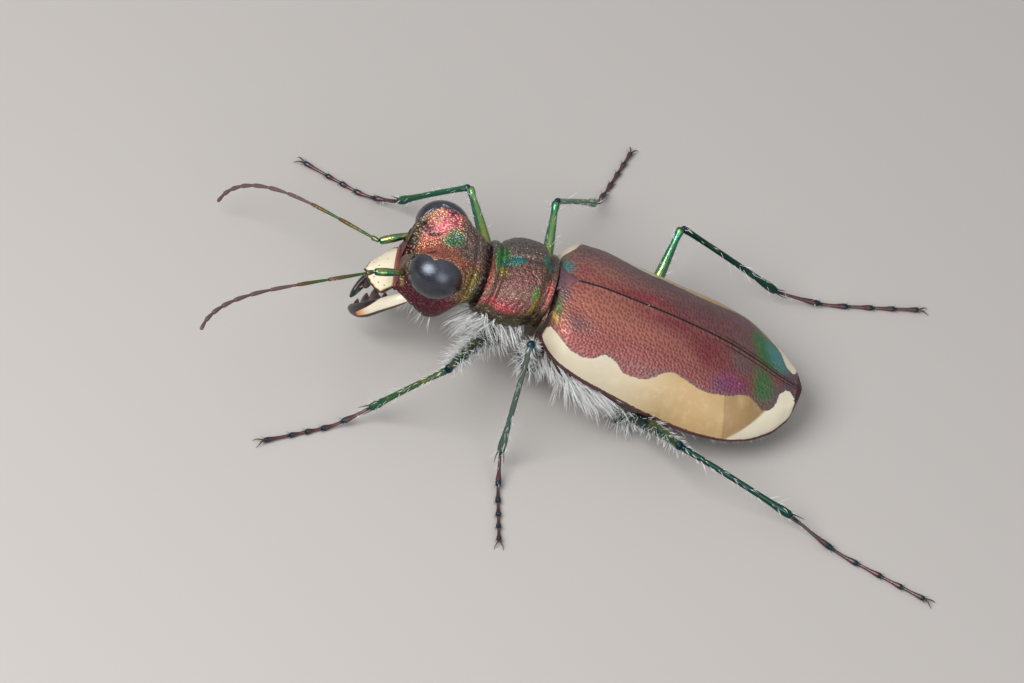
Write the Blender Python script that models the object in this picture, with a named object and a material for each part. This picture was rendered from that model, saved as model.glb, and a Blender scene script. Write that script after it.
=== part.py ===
"""Tiger beetle standing on a floor, life size, as a still museum model.

Head towards -Y, the beetle's left side towards +X, the floor at z = 0. The trunk, head and feelers are
laid out in the trunk's own frame, whose origin is at the front of the wing cases on the plane of their
margins, and which an empty tilts nose-up. The legs reach from the trunk down to the floor.
"""
import math

import bmesh
import bpy
import numpy as np
from mathutils import Matrix, Vector

MM = 0.001

# Stance
BODY_PITCH = math.radians(14.0)       # nose-up tilt of the trunk
MARGIN_HEIGHT = 2.65 * MM             # front of the wing-case margins over the floor
GAP = 0.03 * MM                       # room between neighbouring pieces
WELD = 0.001 * MM                     # merge distance for a tube's loose caps

# Wing cases
ELYTRA_LENGTH = 8.02 * MM
SUTURE_GAP = 0.015 * MM               # half the slit between the two wing cases
INNER_WIDTH = 0.80                    # inner face over outer face, across
INNER_HEIGHT = 0.62                   # inner face over outer face, upwards
SHOULDER = 0.87                       # how square the section of a wing case is, 1 being an ellipse

# Wing-case outlines, as (share of the length, millimetres)
MARGIN = ((0.0, 1.34), (0.03, 1.81), (0.07, 2.16), (0.13, 2.31), (0.30, 2.36), (0.50, 2.38),
          (0.68, 2.37), (0.80, 2.18), (0.89, 1.79), (0.95, 1.30), (0.985, 0.78), (1.0, 0.32))
CROWN = ((0.0, 1.215), (0.07, 1.366), (0.13, 1.446), (0.30, 1.483), (0.50, 1.444), (0.68, 1.287),
         (0.80, 1.064), (0.89, 0.839), (0.95, 0.715), (1.0, 0.640))
EDGE = ((0.0, 0.05), (0.07, 0.12), (0.13, 0.06), (0.30, -0.17), (0.50, -0.34), (0.68, -0.31), (0.80, -0.18),
        (0.89, -0.06), (0.95, 0.10), (0.985, 0.31), (1.0, 0.52))

# Depth of the belly below the front of the margins, as (place along the body, depth)
BELLY = ((-0.1, 0.95), (0.6, 1.15), (1.5, 1.30), (2.6, 1.35), (3.8, 1.30), (5.0, 1.10), (6.5, 0.70),
         (7.7, 0.10))

# Trunk, as places along the body from the front of the wing cases, towards the tail
PRONOTUM_FRONT = -1.95 * MM
PRONOTUM_REAR = -0.12 * MM
MESOTHORAX_REAR = 1.05 * MM
METATHORAX_REAR = 3.85 * MM
ABDOMEN_REAR = 7.70 * MM
SCUTELLUM_HALF_WIDTH = 0.42 * MM
SCUTELLUM_LENGTH = 0.58 * MM
SCUTELLUM_BOTTOM = 0.90 * MM
SCUTELLUM_TOP = 1.24 * MM
SCUTELLUM_RISE = 0.10 * MM            # how much higher its rear point is

# Head
NECK = -2.00 * MM
FACE = -4.05 * MM
EYE_CENTRE = (1.05 * MM, -3.40 * MM, 0.40 * MM)
EYE_RADII = (0.69 * MM, 0.80 * MM, 0.72 * MM)
CLYPEUS_BEVEL = 0.05 * MM
CLYPEUS_SIZE = (1.84 * MM, 0.16 * MM, 0.34 * MM)
CLYPEUS_PLACE = (0.0, -4.17 * MM, -0.74 * MM)
LABRUM_BASE = (0.0, -4.20 * MM, -0.96 * MM)
LABRUM_LENGTH = 0.86 * MM
LABRUM_PITCH = math.radians(36.0)     # how far it slopes below the trunk's axis
LABRUM_THICKNESS = 0.18 * MM
LABRUM_HALF_WIDTH = 0.92 * MM
LABRUM_OUTLINE = ((1.00, 0.00), (1.02, 0.30), (0.90, 0.62), (0.62, 0.86), (0.34, 0.92), (0.14, 0.94),
                  (0.0, 1.04))

# Head profiles along the body, in millimetres: where its crown, brow, side, cheek and chin lie
HEAD = {
    "crown_z": ((-4.05, -0.34), (-3.85, 0.14), (-3.60, 0.50), (-3.30, 0.76), (-3.00, 0.89), (-2.65, 0.97),
                (-2.35, 0.95), (-2.0, 0.78)),
    "brow_x": ((-4.05, 0.74), (-3.85, 0.92), (-3.60, 1.03), (-3.30, 1.07), (-3.00, 1.06), (-2.65, 1.02),
               (-2.35, 0.93), (-2.0, 0.72)),
    "brow_z": ((-4.05, -0.22), (-3.85, 0.56), (-3.60, 1.02), (-3.30, 1.09), (-3.00, 1.03), (-2.65, 0.97),
               (-2.35, 0.91), (-2.0, 0.76)),
    "side_x": ((-4.05, 0.90), (-3.85, 1.02), (-3.60, 1.08), (-3.30, 1.13), (-3.00, 1.18), (-2.65, 1.22),
               (-2.35, 1.16), (-2.0, 0.94)),
    "side_z": ((-4.05, -0.62), (-3.85, -0.50), (-3.60, -0.38), (-3.30, -0.29), (-3.00, -0.20), (-2.65, -0.08),
               (-2.35, 0.04), (-2.0, 0.10)),
    "cheek_x": ((-4.05, 0.76), (-3.85, 0.90), (-3.60, 1.00), (-3.30, 1.06), (-3.00, 1.07), (-2.65, 0.97),
                (-2.35, 0.80), (-2.0, 0.60)),
    "cheek_z": ((-4.05, -0.92), (-3.85, -1.15), (-3.60, -1.34), (-3.30, -1.42), (-3.00, -1.40),
                (-2.65, -1.22), (-2.35, -0.90), (-2.0, -0.46)),
    "chin_z": ((-4.05, -0.98), (-3.85, -1.12), (-3.60, -1.29), (-3.30, -1.41), (-3.00, -1.44), (-2.65, -1.30),
               (-2.35, -1.00), (-2.0, -0.55)),
}

# Jaws: course of one jaw and its radii, its teeth, and the palps beside it, in millimetres
MANDIBLE = ((0.74, -3.66, -1.30), (0.84, -3.98, -1.58), (0.82, -4.28, -1.92), (0.66, -4.56, -2.28),
            (0.42, -4.75, -2.60), (0.17, -4.86, -2.84))
MANDIBLE_RADII = (0.27, 0.27, 0.24, 0.19, 0.13, 0.05)
TEETH = (((0.78, -4.24, -1.92), (0.42, -4.20, -1.98)), ((0.62, -4.56, -2.30), (0.30, -4.50, -2.30)))
TOOTH_RADII = (0.12, 0.02)
PALPS = {
    "maxillary": (0.18, ((0.48, -3.40, -1.52), (0.50, -3.66, -1.95), (0.46, -3.92, -2.34),
                         (0.38, -4.14, -2.66))),
    "labial": (0.15, ((0.19, -3.10, -1.52), (0.20, -3.30, -1.90), (0.18, -3.52, -2.24))),
}

# Feelers and legs: no solid is thinner than this
SLENDER_RADIUS = 0.25 * MM
FEMUR_RADIUS = 0.28 * MM
COXA_RADIUS = 0.42 * MM
SOLE_DEPTH = 0.17 * MM                # height of a tarsus's middle line where it lies on the floor
HEEL = 0.28                           # share of the tarsus before it comes down to the floor
HEEL_HEIGHT = SOLE_DEPTH + 0.03 * MM

# Antenna joints, base to tip
SCAPE_LENGTH = 0.87 * MM
FLAGELLUM_LENGTHS = [length * MM for length in (0.27, 1.20, 1.00, 0.88, 0.68, 0.58, 0.48, 0.42, 0.38, 0.38)]
FLAGELLUM_CUTS = (3, 6)               # joints where the flagellum is parted into its three lengths

# Leg joints in the floor's frame: hip is in the trunk's frame
LEGS = {
    "front_left": {"hip": (0.85, -1.05, -1.00), "knee": (3.55, -2.42, 2.85), "ankle": (3.44, -4.23, 0.56),
                   "tip": (5.08, -7.04)},
    "front_right": {"hip": (-0.85, -1.05, -1.00), "knee": (-3.88, -2.49, 2.71), "ankle": (-4.82, -4.31, 0.59),
                    "tip": (-6.06, -7.16)},
    "middle_left": {"hip": (0.90, 0.40, -1.30), "knee": (2.74, -0.25, 3.71), "ankle": (4.10, -0.37, 0.52),
                    "tip": (7.01, -0.03)},
    "middle_right": {"hip": (-0.90, 0.40, -1.30), "knee": (-4.04, 0.04, 2.71), "ankle": (-6.43, 1.43, 0.56),
                     "tip": (-9.22, 2.34)},
    "hind_left": {"hip": (1.46, 3.40, -1.38), "knee": (3.97, 4.54, 2.17), "ankle": (4.23, 8.16, 0.54),
                  "tip": (5.92, 12.26)},
    "hind_right": {"hip": (-1.46, 3.40, -1.38), "knee": (-4.01, 3.75, 2.75), "ankle": (-4.41, 7.03, 0.54),
                   "tip": (-5.31, 11.34)},
}

# Finishes: colour, roughness, metallic
COPPER = ((0.20, 0.035, 0.030), 0.38, 0.75)
MAROON = ((0.15, 0.030, 0.028), 0.42, 0.45)
GREEN = ((0.030, 0.110, 0.070), 0.35, 0.80)
BRONZE = ((0.045, 0.040, 0.035), 0.40, 0.60)
CREAM = ((0.78, 0.68, 0.48), 0.45, 0.0)
EYE_BLACK = ((0.020, 0.020, 0.026), 0.15, 0.0)
DUSKY = ((0.070, 0.035, 0.030), 0.45, 0.3)


def clear_scene():
    """Remove whatever the file opened with."""
    for obj in list(bpy.data.objects):
        bpy.data.objects.remove(obj, do_unlink=True)


def finish(name, look):
    """A plain Principled material."""
    colour, roughness, metallic = look
    material = bpy.data.materials.new(name)
    material.use_nodes = True
    shader = material.node_tree.nodes["Principled BSDF"]
    shader.inputs["Base Color"].default_value = (*colour, 1.0)
    shader.inputs["Roughness"].default_value = roughness
    shader.inputs["Metallic"].default_value = metallic
    return material


def along(stations, place):
    """Smooth value at a place of a profile given as (place, value) stations, the values in millimetres."""
    places = [station[0] for station in stations]
    values = [station[1] for station in stations]
    slopes = np.gradient(values, places)
    i = min(max(int(np.searchsorted(places, place)) - 1, 0), len(places) - 2)
    span = places[i + 1] - places[i]
    u = min(max((place - places[i]) / span, 0.0), 1.0)
    rise = (1 + 2 * u) * (1 - u) ** 2 * values[i] + u * u * (3 - 2 * u) * values[i + 1]
    lean = u * (1 - u) ** 2 * slopes[i] - u * u * (1 - u) * slopes[i + 1]
    return float(rise + lean * span)


def power(value, exponent):
    """Signed power, for rounded-square sections."""
    return math.copysign(abs(value) ** exponent, value)


def as_object(name, bm, look, collection, parent):
    """Turn a bmesh into a smooth-shaded object with its own material, facing outwards."""
    bm.normal_update()
    bmesh.ops.recalc_face_normals(bm, faces=bm.faces)
    mesh = bpy.data.meshes.new(name)
    bm.to_mesh(mesh)
    bm.free()
    mesh.shade_smooth()
    mesh.set_sharp_from_angle(angle=math.radians(50))
    obj = bpy.data.objects.new(name, mesh)
    collection.objects.link(obj)
    obj.parent = parent
    obj.data.materials.append(finish(name, look))
    return obj


def moulded(rings, segments, place):
    """Closed barrel: a cylinder ringed along its length, with each point where place(t, index) puts it."""
    bm = bmesh.new()
    bmesh.ops.create_cone(bm, cap_ends=True, segments=segments, radius1=1.0, radius2=1.0, depth=1.0)
    sides = [edge for edge in bm.edges if abs(edge.verts[0].co.z - edge.verts[1].co.z) > 0.5]
    bmesh.ops.subdivide_edges(bm, edges=sides, cuts=rings - 2)
    for vert in bm.verts:
        turn = math.atan2(vert.co.y, vert.co.x) / math.tau
        vert.co = place(vert.co.z + 0.5, round(turn * segments) % segments)
    return bm


# ---------------------------------------------------------------- wing cases and trunk

def elytra_outline(t):
    """Half width, crown height and edge height of the wing cases at a share of their length."""
    return tuple(along(profile, t) * MM for profile in (MARGIN, CROWN, EDGE))


def elytron_bmesh(side):
    """One wing case: a domed shell from the suture to the margin."""
    outer, inner = 13, 10

    def place(step, index):
        t = 0.55 * (1 - math.cos(math.pi * step)) / 2 + 0.45 * step
        width, top, edge = elytra_outline(t)
        if index < outer:
            lean = index / (outer - 1) * math.pi / 2
        else:
            width, top = width * INNER_WIDTH, edge + (top - edge) * INNER_HEIGHT
            lean = (1 - (index - outer) / (inner - 1)) * math.pi / 2
        x = max(width * math.sin(lean) ** SHOULDER, SUTURE_GAP)
        z = edge + (top - edge) * max(math.cos(lean), 0.0) ** SHOULDER
        return Vector((side * x, t * ELYTRA_LENGTH, z))

    return moulded(20, outer + inner, place)


def trunk_bmesh(front, rear, rings, grow=0.0):
    """A length of the trunk under the wing cases, just clear of their inner faces."""
    segments = 20
    room = 2 * GAP - grow

    def place(t, index):
        y = front + (rear - front) * t
        width, top, edge = elytra_outline(min(max(y / ELYTRA_LENGTH, 0.0), 1.0))
        angle = index / segments * math.tau
        rise, across = math.sin(angle), math.cos(angle)
        half = width * INNER_WIDTH - room
        if rise > 0:
            height = (top - edge) * INNER_HEIGHT - room
            return Vector((half * power(across, SHOULDER), y, edge + height * rise ** SHOULDER))
        depth = along(BELLY, y / MM) * MM + grow + edge
        return Vector((half * power(across, 0.9), y, edge + depth * power(rise, 0.85)))

    return moulded(rings, segments, place)


def prothorax_bmesh(grow=0.0):
    """The first ring of the trunk under its shield: a barrel with a groove behind each collar."""
    segments = 26
    width = ((0.0, 1.14), (0.06, 1.17), (0.13, 1.20), (0.30, 1.36), (0.55, 1.38), (0.78, 1.26), (0.89, 1.07),
             (1.0, 1.10))
    middle = ((0.0, 0.10), (0.5, 0.36), (1.0, 0.50))
    up = ((0.0, 0.82), (0.07, 0.87), (0.13, 0.87), (0.32, 1.06), (0.60, 1.13), (0.80, 1.07), (0.89, 0.90),
          (1.0, 0.92))
    down = ((0.0, 0.78), (0.3, 1.02), (0.7, 1.10), (1.0, 1.00))

    def place(t, index):
        angle = index / segments * math.tau
        rise, across = math.sin(angle), math.cos(angle)
        reach = up if rise > 0 else down
        x = (along(width, t) * MM + grow) * power(across, 0.92)
        z = along(middle, t) * MM + (along(reach, t) * MM + grow) * power(rise, 0.92)
        return Vector((x, PRONOTUM_FRONT + (PRONOTUM_REAR - PRONOTUM_FRONT) * t, z))

    return moulded(15, segments, place)


def scutellum_bmesh(grow=0.0, bottom=SCUTELLUM_BOTTOM, top=SCUTELLUM_TOP):
    """The small triangle between the bases of the wing cases, its point towards the tail."""
    bm = bmesh.new()
    bmesh.ops.create_cone(bm, cap_ends=True, segments=3, radius1=1.0, radius2=1.0, depth=1.0)
    for vert in bm.verts:
        turn = round((math.atan2(vert.co.y, vert.co.x) / math.tau) * 3) % 3
        x = (0.0, 1.0, -1.0)[turn] * (SCUTELLUM_HALF_WIDTH + 2 * grow)
        y = SCUTELLUM_LENGTH + 2.5 * grow if turn == 0 else -grow
        z = top if vert.co.z > 0 else bottom
        slope = SCUTELLUM_RISE * y / SCUTELLUM_LENGTH if vert.co.z > 0 else 0.0
        vert.co = (x, y, z + slope)
    return bm


# ---------------------------------------------------------------- head

def head_section(y, hollow):
    """Stations of x and of z around half a section of the head, from its crown down to its chin."""
    spot = {name: along(HEAD[name], y) for name in HEAD}
    if not hollow:
        spot["crown_z"] = max(spot["crown_z"], spot["brow_z"])
    wide = ((-0.25, -spot["brow_x"]), (0.0, 0.0), (0.25, spot["brow_x"]), (0.5, spot["side_x"]),
            (0.75, spot["cheek_x"]), (1.0, 0.0), (1.25, -spot["cheek_x"]))
    tall = ((-0.25, spot["brow_z"]), (0.0, spot["crown_z"]), (0.25, spot["brow_z"]), (0.5, spot["side_z"]),
            (0.75, spot["cheek_z"]), (1.0, spot["chin_z"]), (1.25, spot["cheek_z"]))
    return wide, tall


def head_bmesh(grow=0.0, hollow=True):
    """The head capsule, hollow between the brows or filled there, narrowing to the neck."""
    segments = 32

    def place(t, index):
        y = NECK + grow + (FACE - NECK - 2 * grow) * t
        wide, tall = head_section(y / MM, hollow)
        turn = index / segments * 2
        side, share = (1, turn) if turn <= 1 else (-1, 2 - turn)
        x, z = along(wide, share), along(tall, share)
        middle = along(tall, 0.5)
        swell = Vector((x, z - middle)).normalized() * grow
        return Vector((side * (x * MM + swell.x), y, z * MM + swell.y))

    return moulded(19, segments, place)


def ellipsoid_bmesh(centre, radii, grow=0.0, across=20, up=12):
    """A sphere primitive stretched to three radii."""
    bm = bmesh.new()
    bmesh.ops.create_uvsphere(bm, u_segments=across, v_segments=up, radius=1.0)
    bmesh.ops.scale(bm, vec=[radius + grow for radius in radii], verts=bm.verts)
    bmesh.ops.translate(bm, vec=centre, verts=bm.verts)
    return bm


def cut(target, cutters):
    """Take the cutters away from the target with exact Booleans that stay live."""
    for cutter in cutters:
        modifier = target.modifiers.new("cut", "BOOLEAN")
        modifier.operation = "DIFFERENCE"
        modifier.solver = "EXACT"
        modifier.object = cutter


def curve_bmesh(curve, points, cyclic=False):
    """The body of a curve through (x, y, z, radius) points, its loose caps welded on."""
    spline = curve.splines.new("POLY")
    spline.points.add(len(points) - 1)
    for knot, (x, y, z, radius) in zip(spline.points, points):
        knot.co = (x, y, z, 1.0)
        knot.radius = radius
    spline.use_cyclic_u = cyclic
    holder = bpy.data.objects.new("curve", curve)
    bpy.context.scene.collection.objects.link(holder)
    mesh = bpy.data.meshes.new_from_object(holder.evaluated_get(bpy.context.evaluated_depsgraph_get()))
    bm = bmesh.new()
    bm.from_mesh(mesh)
    bmesh.ops.remove_doubles(bm, verts=bm.verts, dist=WELD)
    bpy.data.objects.remove(holder, do_unlink=True)
    bpy.data.curves.remove(curve)
    bpy.data.meshes.remove(mesh)
    return bm


def tube_bmesh(points, radii, resolution=2):
    """A round tube through points with a radius at each."""
    curve = bpy.data.curves.new("tube", "CURVE")
    curve.dimensions = "3D"
    curve.bevel_depth = 1.0 * MM
    curve.bevel_resolution = resolution
    curve.use_fill_caps = True
    return curve_bmesh(curve, [(*point, radius / MM) for point, radius in zip(points, radii)])


def trim(bm, point, normal):
    """Cut a closed body at a plane, drop what lies beyond it, and close the cut."""
    everything = bm.verts[:] + bm.edges[:] + bm.faces[:]
    bmesh.ops.bisect_plane(bm, geom=everything, plane_co=point, plane_no=normal, clear_outer=True)
    rim = [edge for edge in bm.edges if edge.is_boundary]
    bmesh.ops.holes_fill(bm, edges=rim, sides=0)


def jointed(paths, radii):
    """Tubes along paths that follow one another, mitred where they meet with a small gap; one bmesh each."""
    overrun = 2.6 * SLENDER_RADIUS
    leaving = [(path[1] - path[0]).normalized() for path in paths]
    arriving = [(path[-1] - path[-2]).normalized() for path in paths]
    bodies = []
    for i, path in enumerate(paths):
        points = list(path)
        first, last = i == 0, i == len(paths) - 1
        if not first:
            points[0] = points[0] - leaving[i] * overrun
        if not last:
            points[-1] = points[-1] + arriving[i] * overrun
        bm = tube_bmesh(points, np.linspace(*radii[i], len(points)))
        if not first:
            normal = (arriving[i - 1] + leaving[i]).normalized()
            trim(bm, path[0] + normal * GAP / 2, -normal)
        if not last:
            normal = (arriving[i] + leaving[i + 1]).normalized()
            trim(bm, path[-1] - normal * GAP / 2, normal)
        bodies.append(bm)
    return bodies


def labrum_bmesh():
    """The upper lip: a flat outline with a scalloped front, extruded."""
    right = [(LABRUM_HALF_WIDTH * x, LABRUM_LENGTH * y) for x, y in LABRUM_OUTLINE]
    outline = right + [(-x, y) for x, y in right[-2::-1]]
    curve = bpy.data.curves.new("outline", "CURVE")
    curve.dimensions = "2D"
    curve.fill_mode = "BOTH"
    curve.extrude = LABRUM_THICKNESS / 2
    bm = curve_bmesh(curve, [(x, y, 0.0, 1.0) for x, y in outline], cyclic=True)
    turn = Matrix.Rotation(LABRUM_PITCH, 4, "X") @ Matrix.Rotation(math.pi, 4, "Z")
    bmesh.ops.transform(bm, matrix=Matrix.Translation(LABRUM_BASE) @ turn, verts=bm.verts)
    return bm


def sided(places, side):
    """Places given in millimetres for the left side, as points on one side."""
    return [Vector((side * x, y, z)) * MM for x, y, z in places]


def heading(azimuth, elevation, side):
    """Unit direction that is outward by azimuth from straight ahead, and up by elevation."""
    level = math.cos(elevation)
    return Vector((side * level * math.sin(azimuth), -level * math.cos(azimuth), math.sin(elevation)))


def antenna_joints(side, base, scape, start, end, powers):
    """Points of one feeler: the scape, then the flagellum turning from its start to its end heading."""
    points = sided([base], side)
    points.append(points[0] + heading(*(math.radians(angle) for angle in scape), side) * SCAPE_LENGTH)
    total, done = sum(FLAGELLUM_LENGTHS), 0.0
    for length in FLAGELLUM_LENGTHS:
        share = (done + length / 2) / total
        angles = [math.radians(a + (b - a) * share ** p) for a, b, p in zip(start, end, powers)]
        points.append(points[-1] + heading(*angles, side) * length)
        done += length
    return points


ANTENNAE = {
    "left": {"side": 1, "base": (0.78, -4.20, -0.18), "scape": (19, -7), "start": (31, -10),
             "end": (82, -3), "powers": (4.0, 1.0)},
    "right": {"side": -1, "base": (0.78, -4.17, -0.22), "scape": (-17, -32), "start": (35, -21),
              "end": (36, -91), "powers": (1.0, 3.15)},
}


# ---------------------------------------------------------------- assembly

def trunk_to_floor(point):
    """A point of the trunk's frame, in the floor's frame."""
    tilt = Matrix.Rotation(-BODY_PITCH, 3, "X")
    return tilt @ Vector(point) + Vector((0.0, 0.0, MARGIN_HEIGHT))


def build_trunk(parts, cutters, trunk):
    """Shield, wing cases, scutellum and the body under them."""
    middle = (PRONOTUM_REAR + GAP, MESOTHORAX_REAR, 5)
    hind = (MESOTHORAX_REAR + GAP, METATHORAX_REAR, 9)
    as_object("prothorax", prothorax_bmesh(), COPPER, parts, trunk)
    as_object("mesothorax", trunk_bmesh(*middle), BRONZE, parts, trunk)
    as_object("metathorax", trunk_bmesh(*hind), BRONZE, parts, trunk)
    as_object("abdomen", trunk_bmesh(METATHORAX_REAR + GAP, ABDOMEN_REAR, 10), DUSKY, parts, trunk)
    as_object("scutellum", scutellum_bmesh(), COPPER, parts, trunk)
    as_object("front_room", prothorax_bmesh(GAP), COPPER, cutters, trunk)
    for name, (front, rear, rings) in (("middle_room", middle), ("hind_room", hind)):
        as_object(name, trunk_bmesh(front - GAP, rear + GAP, rings, GAP), BRONZE, cutters, trunk)
    notch = as_object("notch", scutellum_bmesh(GAP, 0.0, 2 * SCUTELLUM_TOP), COPPER, cutters, trunk)
    for name, side in (("left", 1), ("right", -1)):
        cut(as_object(f"elytron_{name}", elytron_bmesh(side), MAROON, parts, trunk), [notch])


def build_head(parts, cutters, trunk):
    """Capsule, eyes, lip, jaws, palps and feelers."""
    as_object("head", head_bmesh(), COPPER, parts, trunk)
    room = as_object("head_room", head_bmesh(GAP, hollow=False), COPPER, cutters, trunk)
    bm = bmesh.new()
    bmesh.ops.create_cube(bm, size=1.0)
    bmesh.ops.scale(bm, vec=CLYPEUS_SIZE, verts=bm.verts)
    bmesh.ops.translate(bm, vec=CLYPEUS_PLACE, verts=bm.verts)
    bmesh.ops.bevel(bm, geom=bm.edges[:], offset=CLYPEUS_BEVEL, segments=2, affect="EDGES")
    cut(as_object("clypeus", bm, COPPER, parts, trunk), [room])
    as_object("labrum", labrum_bmesh(), CREAM, parts, trunk)
    for name, side in (("left", 1), ("right", -1)):
        centre = (side * EYE_CENTRE[0], EYE_CENTRE[1], EYE_CENTRE[2])
        cut(as_object(f"eye_{name}", ellipsoid_bmesh(centre, EYE_RADII), EYE_BLACK, parts, trunk), [room])
        build_jaw(name, side, parts, cutters, trunk, room)
        build_antenna(name, parts, trunk, room)


def build_jaw(name, side, parts, cutters, trunk, room):
    """One mandible with its teeth, and the two palps on its side."""
    radii = [radius * MM for radius in MANDIBLE_RADII]
    bm = tube_bmesh(sided(MANDIBLE, side), radii, resolution=3)
    jaw = as_object(f"mandible_{name}", bm, CREAM, parts, trunk)
    cut(jaw, [room])
    for i, places in enumerate(TEETH):
        bm = tube_bmesh(sided(places, side), [radius * MM for radius in TOOTH_RADII])
        union = jaw.modifiers.new("tooth", "BOOLEAN")
        union.operation = "UNION"
        union.solver = "EXACT"
        union.object = as_object(f"tooth_{name}_{i}", bm, CREAM, cutters, trunk)
    for kind, (radius, course) in PALPS.items():
        bm = tube_bmesh(sided(course, side), [radius * MM] * len(course))
        cut(as_object(f"palp_{kind}_{name}", bm, CREAM, parts, trunk), [room])


def build_antenna(name, parts, trunk, room):
    """One feeler in four lengths: the scape and three of the flagellum."""
    points = antenna_joints(**ANTENNAE[name])
    cuts = [0, 1] + [1 + joint for joint in FLAGELLUM_CUTS] + [len(points) - 1]
    paths = [points[a:b + 1] for a, b in zip(cuts, cuts[1:])]
    bodies = jointed(paths, [(SLENDER_RADIUS, SLENDER_RADIUS)] * len(paths))
    for part, bm in zip(("scape", "base", "middle", "tip"), bodies):
        look = GREEN if part in ("scape", "base") else DUSKY
        piece = as_object(f"antenna_{name}_{part}", bm, look, parts, trunk)
        if part == "scape":
            cut(piece, [room])


def build_leg(name, places, parts, cutters, trunk, root):
    """One leg: hip ball on the trunk, then femur, tibia and a tarsus with a flat sole."""
    hip, knee, ankle = (Vector(places[joint]) * MM for joint in ("hip", "knee", "ankle"))
    room = cutters.objects[name.split("_")[0] + "_room"]
    ball = ellipsoid_bmesh(hip, (COXA_RADIUS,) * 3, across=14, up=8)
    cut(as_object(f"leg_{name}_coxa", ball, BRONZE, parts, trunk), [room])
    hip = trunk_to_floor(hip)
    start = hip + (knee - hip).normalized() * (COXA_RADIUS + GAP)
    tip = Vector((places["tip"][0] * MM, places["tip"][1] * MM, SOLE_DEPTH))
    heel = ankle.lerp(tip, HEEL)
    heel.z = HEEL_HEIGHT
    bodies = jointed([[start, knee], [knee, ankle], [ankle, heel, tip]],
                     [(FEMUR_RADIUS, SLENDER_RADIUS), (SLENDER_RADIUS,) * 2, (SLENDER_RADIUS,) * 2])
    for part, bm, look in zip(("femur", "tibia", "tarsus"), bodies, (GREEN, GREEN, BRONZE)):
        for vert in bm.verts:
            vert.co.z = max(vert.co.z, 0.0)
        piece = as_object(f"leg_{name}_{part}", bm, look, parts, root)
        if part == "femur":
            cut(piece, [room])


def centre_on_floor(root, parts):
    """Slide the whole beetle so that the middle of its box stands over the origin."""
    bpy.context.view_layer.update()
    corners = np.array([obj.matrix_world @ vert.co for obj in parts.objects if obj.type == "MESH"
                        for vert in obj.data.vertices])
    middle = (corners.min(axis=0) + corners.max(axis=0)) / 2
    root.location = (-middle[0], -middle[1], 0.0)


def main():
    """Build the beetle."""
    clear_scene()
    parts = bpy.data.collections.new("tiger_beetle")
    cutters = bpy.data.collections.new("cutters")
    for collection in (parts, cutters):
        bpy.context.scene.collection.children.link(collection)
    root = bpy.data.objects.new("beetle", None)
    trunk = bpy.data.objects.new("trunk", None)
    for empty in (root, trunk):
        parts.objects.link(empty)
    trunk.parent = root
    trunk.location = (0.0, 0.0, MARGIN_HEIGHT)
    trunk.rotation_euler = (-BODY_PITCH, 0.0, 0.0)
    build_trunk(parts, cutters, trunk)
    build_head(parts, cutters, trunk)
    for name, places in LEGS.items():
        build_leg(name, places, parts, cutters, trunk, root)
    for cutter in cutters.objects:
        cutter.hide_render = True
        cutter.display_type = "WIRE"
    centre_on_floor(root, parts)


main()
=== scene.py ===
"""Looks of a life-size tiger beetle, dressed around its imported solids.

Every plate, eye, jaw and limb is a mesh of its own, and so is each coat of hairs. Sizes are millimetres
unless a comment says otherwise, in one of two frames. The trunk's has x to the beetle's left, y towards its
tail, z towards its back, and its origin at the front of the wing-case margins. The floor's is the frame of
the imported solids.
"""

import logging
import math
from dataclasses import dataclass
from enum import Enum
from typing import Any, Sequence

import bmesh
import bpy
import numpy as np
from mathutils import Matrix, Vector


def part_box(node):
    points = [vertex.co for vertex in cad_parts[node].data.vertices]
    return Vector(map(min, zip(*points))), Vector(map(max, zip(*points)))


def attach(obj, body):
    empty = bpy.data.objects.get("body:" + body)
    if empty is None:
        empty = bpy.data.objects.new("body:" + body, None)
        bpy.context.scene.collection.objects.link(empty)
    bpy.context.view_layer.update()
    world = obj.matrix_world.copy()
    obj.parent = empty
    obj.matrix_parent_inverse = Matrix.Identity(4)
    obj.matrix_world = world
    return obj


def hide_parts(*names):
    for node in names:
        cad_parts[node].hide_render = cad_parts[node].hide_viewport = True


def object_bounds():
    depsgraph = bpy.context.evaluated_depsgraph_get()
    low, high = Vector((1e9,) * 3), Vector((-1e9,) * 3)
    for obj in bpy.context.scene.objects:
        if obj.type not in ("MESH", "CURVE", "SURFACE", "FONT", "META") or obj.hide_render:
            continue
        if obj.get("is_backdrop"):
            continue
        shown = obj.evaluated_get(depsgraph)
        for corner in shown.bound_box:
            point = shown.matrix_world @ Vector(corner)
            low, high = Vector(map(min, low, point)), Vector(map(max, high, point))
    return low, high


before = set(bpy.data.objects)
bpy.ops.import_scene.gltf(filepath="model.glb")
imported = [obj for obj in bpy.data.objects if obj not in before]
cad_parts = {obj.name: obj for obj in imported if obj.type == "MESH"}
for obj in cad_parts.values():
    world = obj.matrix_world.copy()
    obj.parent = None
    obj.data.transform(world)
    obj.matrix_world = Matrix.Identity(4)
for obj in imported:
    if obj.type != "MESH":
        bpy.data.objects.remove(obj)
SOLID_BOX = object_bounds()

LOG = logging.getLogger("beetle")
MM = 0.001  # a millimetre, in the metres that meshes are made in
BODY = "root"
SIDES = {"left": 1, "right": -1}
BELLY = -math.pi / 2  # where the trunk's rings start
CASE_LENGTH = 8.02
CASE_GIRTH = 2.9  # from the suture to the margin
EYE_MIDDLE = (0.98, -3.44, 0.445)
EYE_RADII = (0.69, 0.8, 0.72)

Array = np.ndarray
Material = bpy.types.Material
Pair = tuple[float, float]
Triple = tuple[float, float, float]
Numbers = tuple[float, ...]


# ---- numbers along a length

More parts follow.
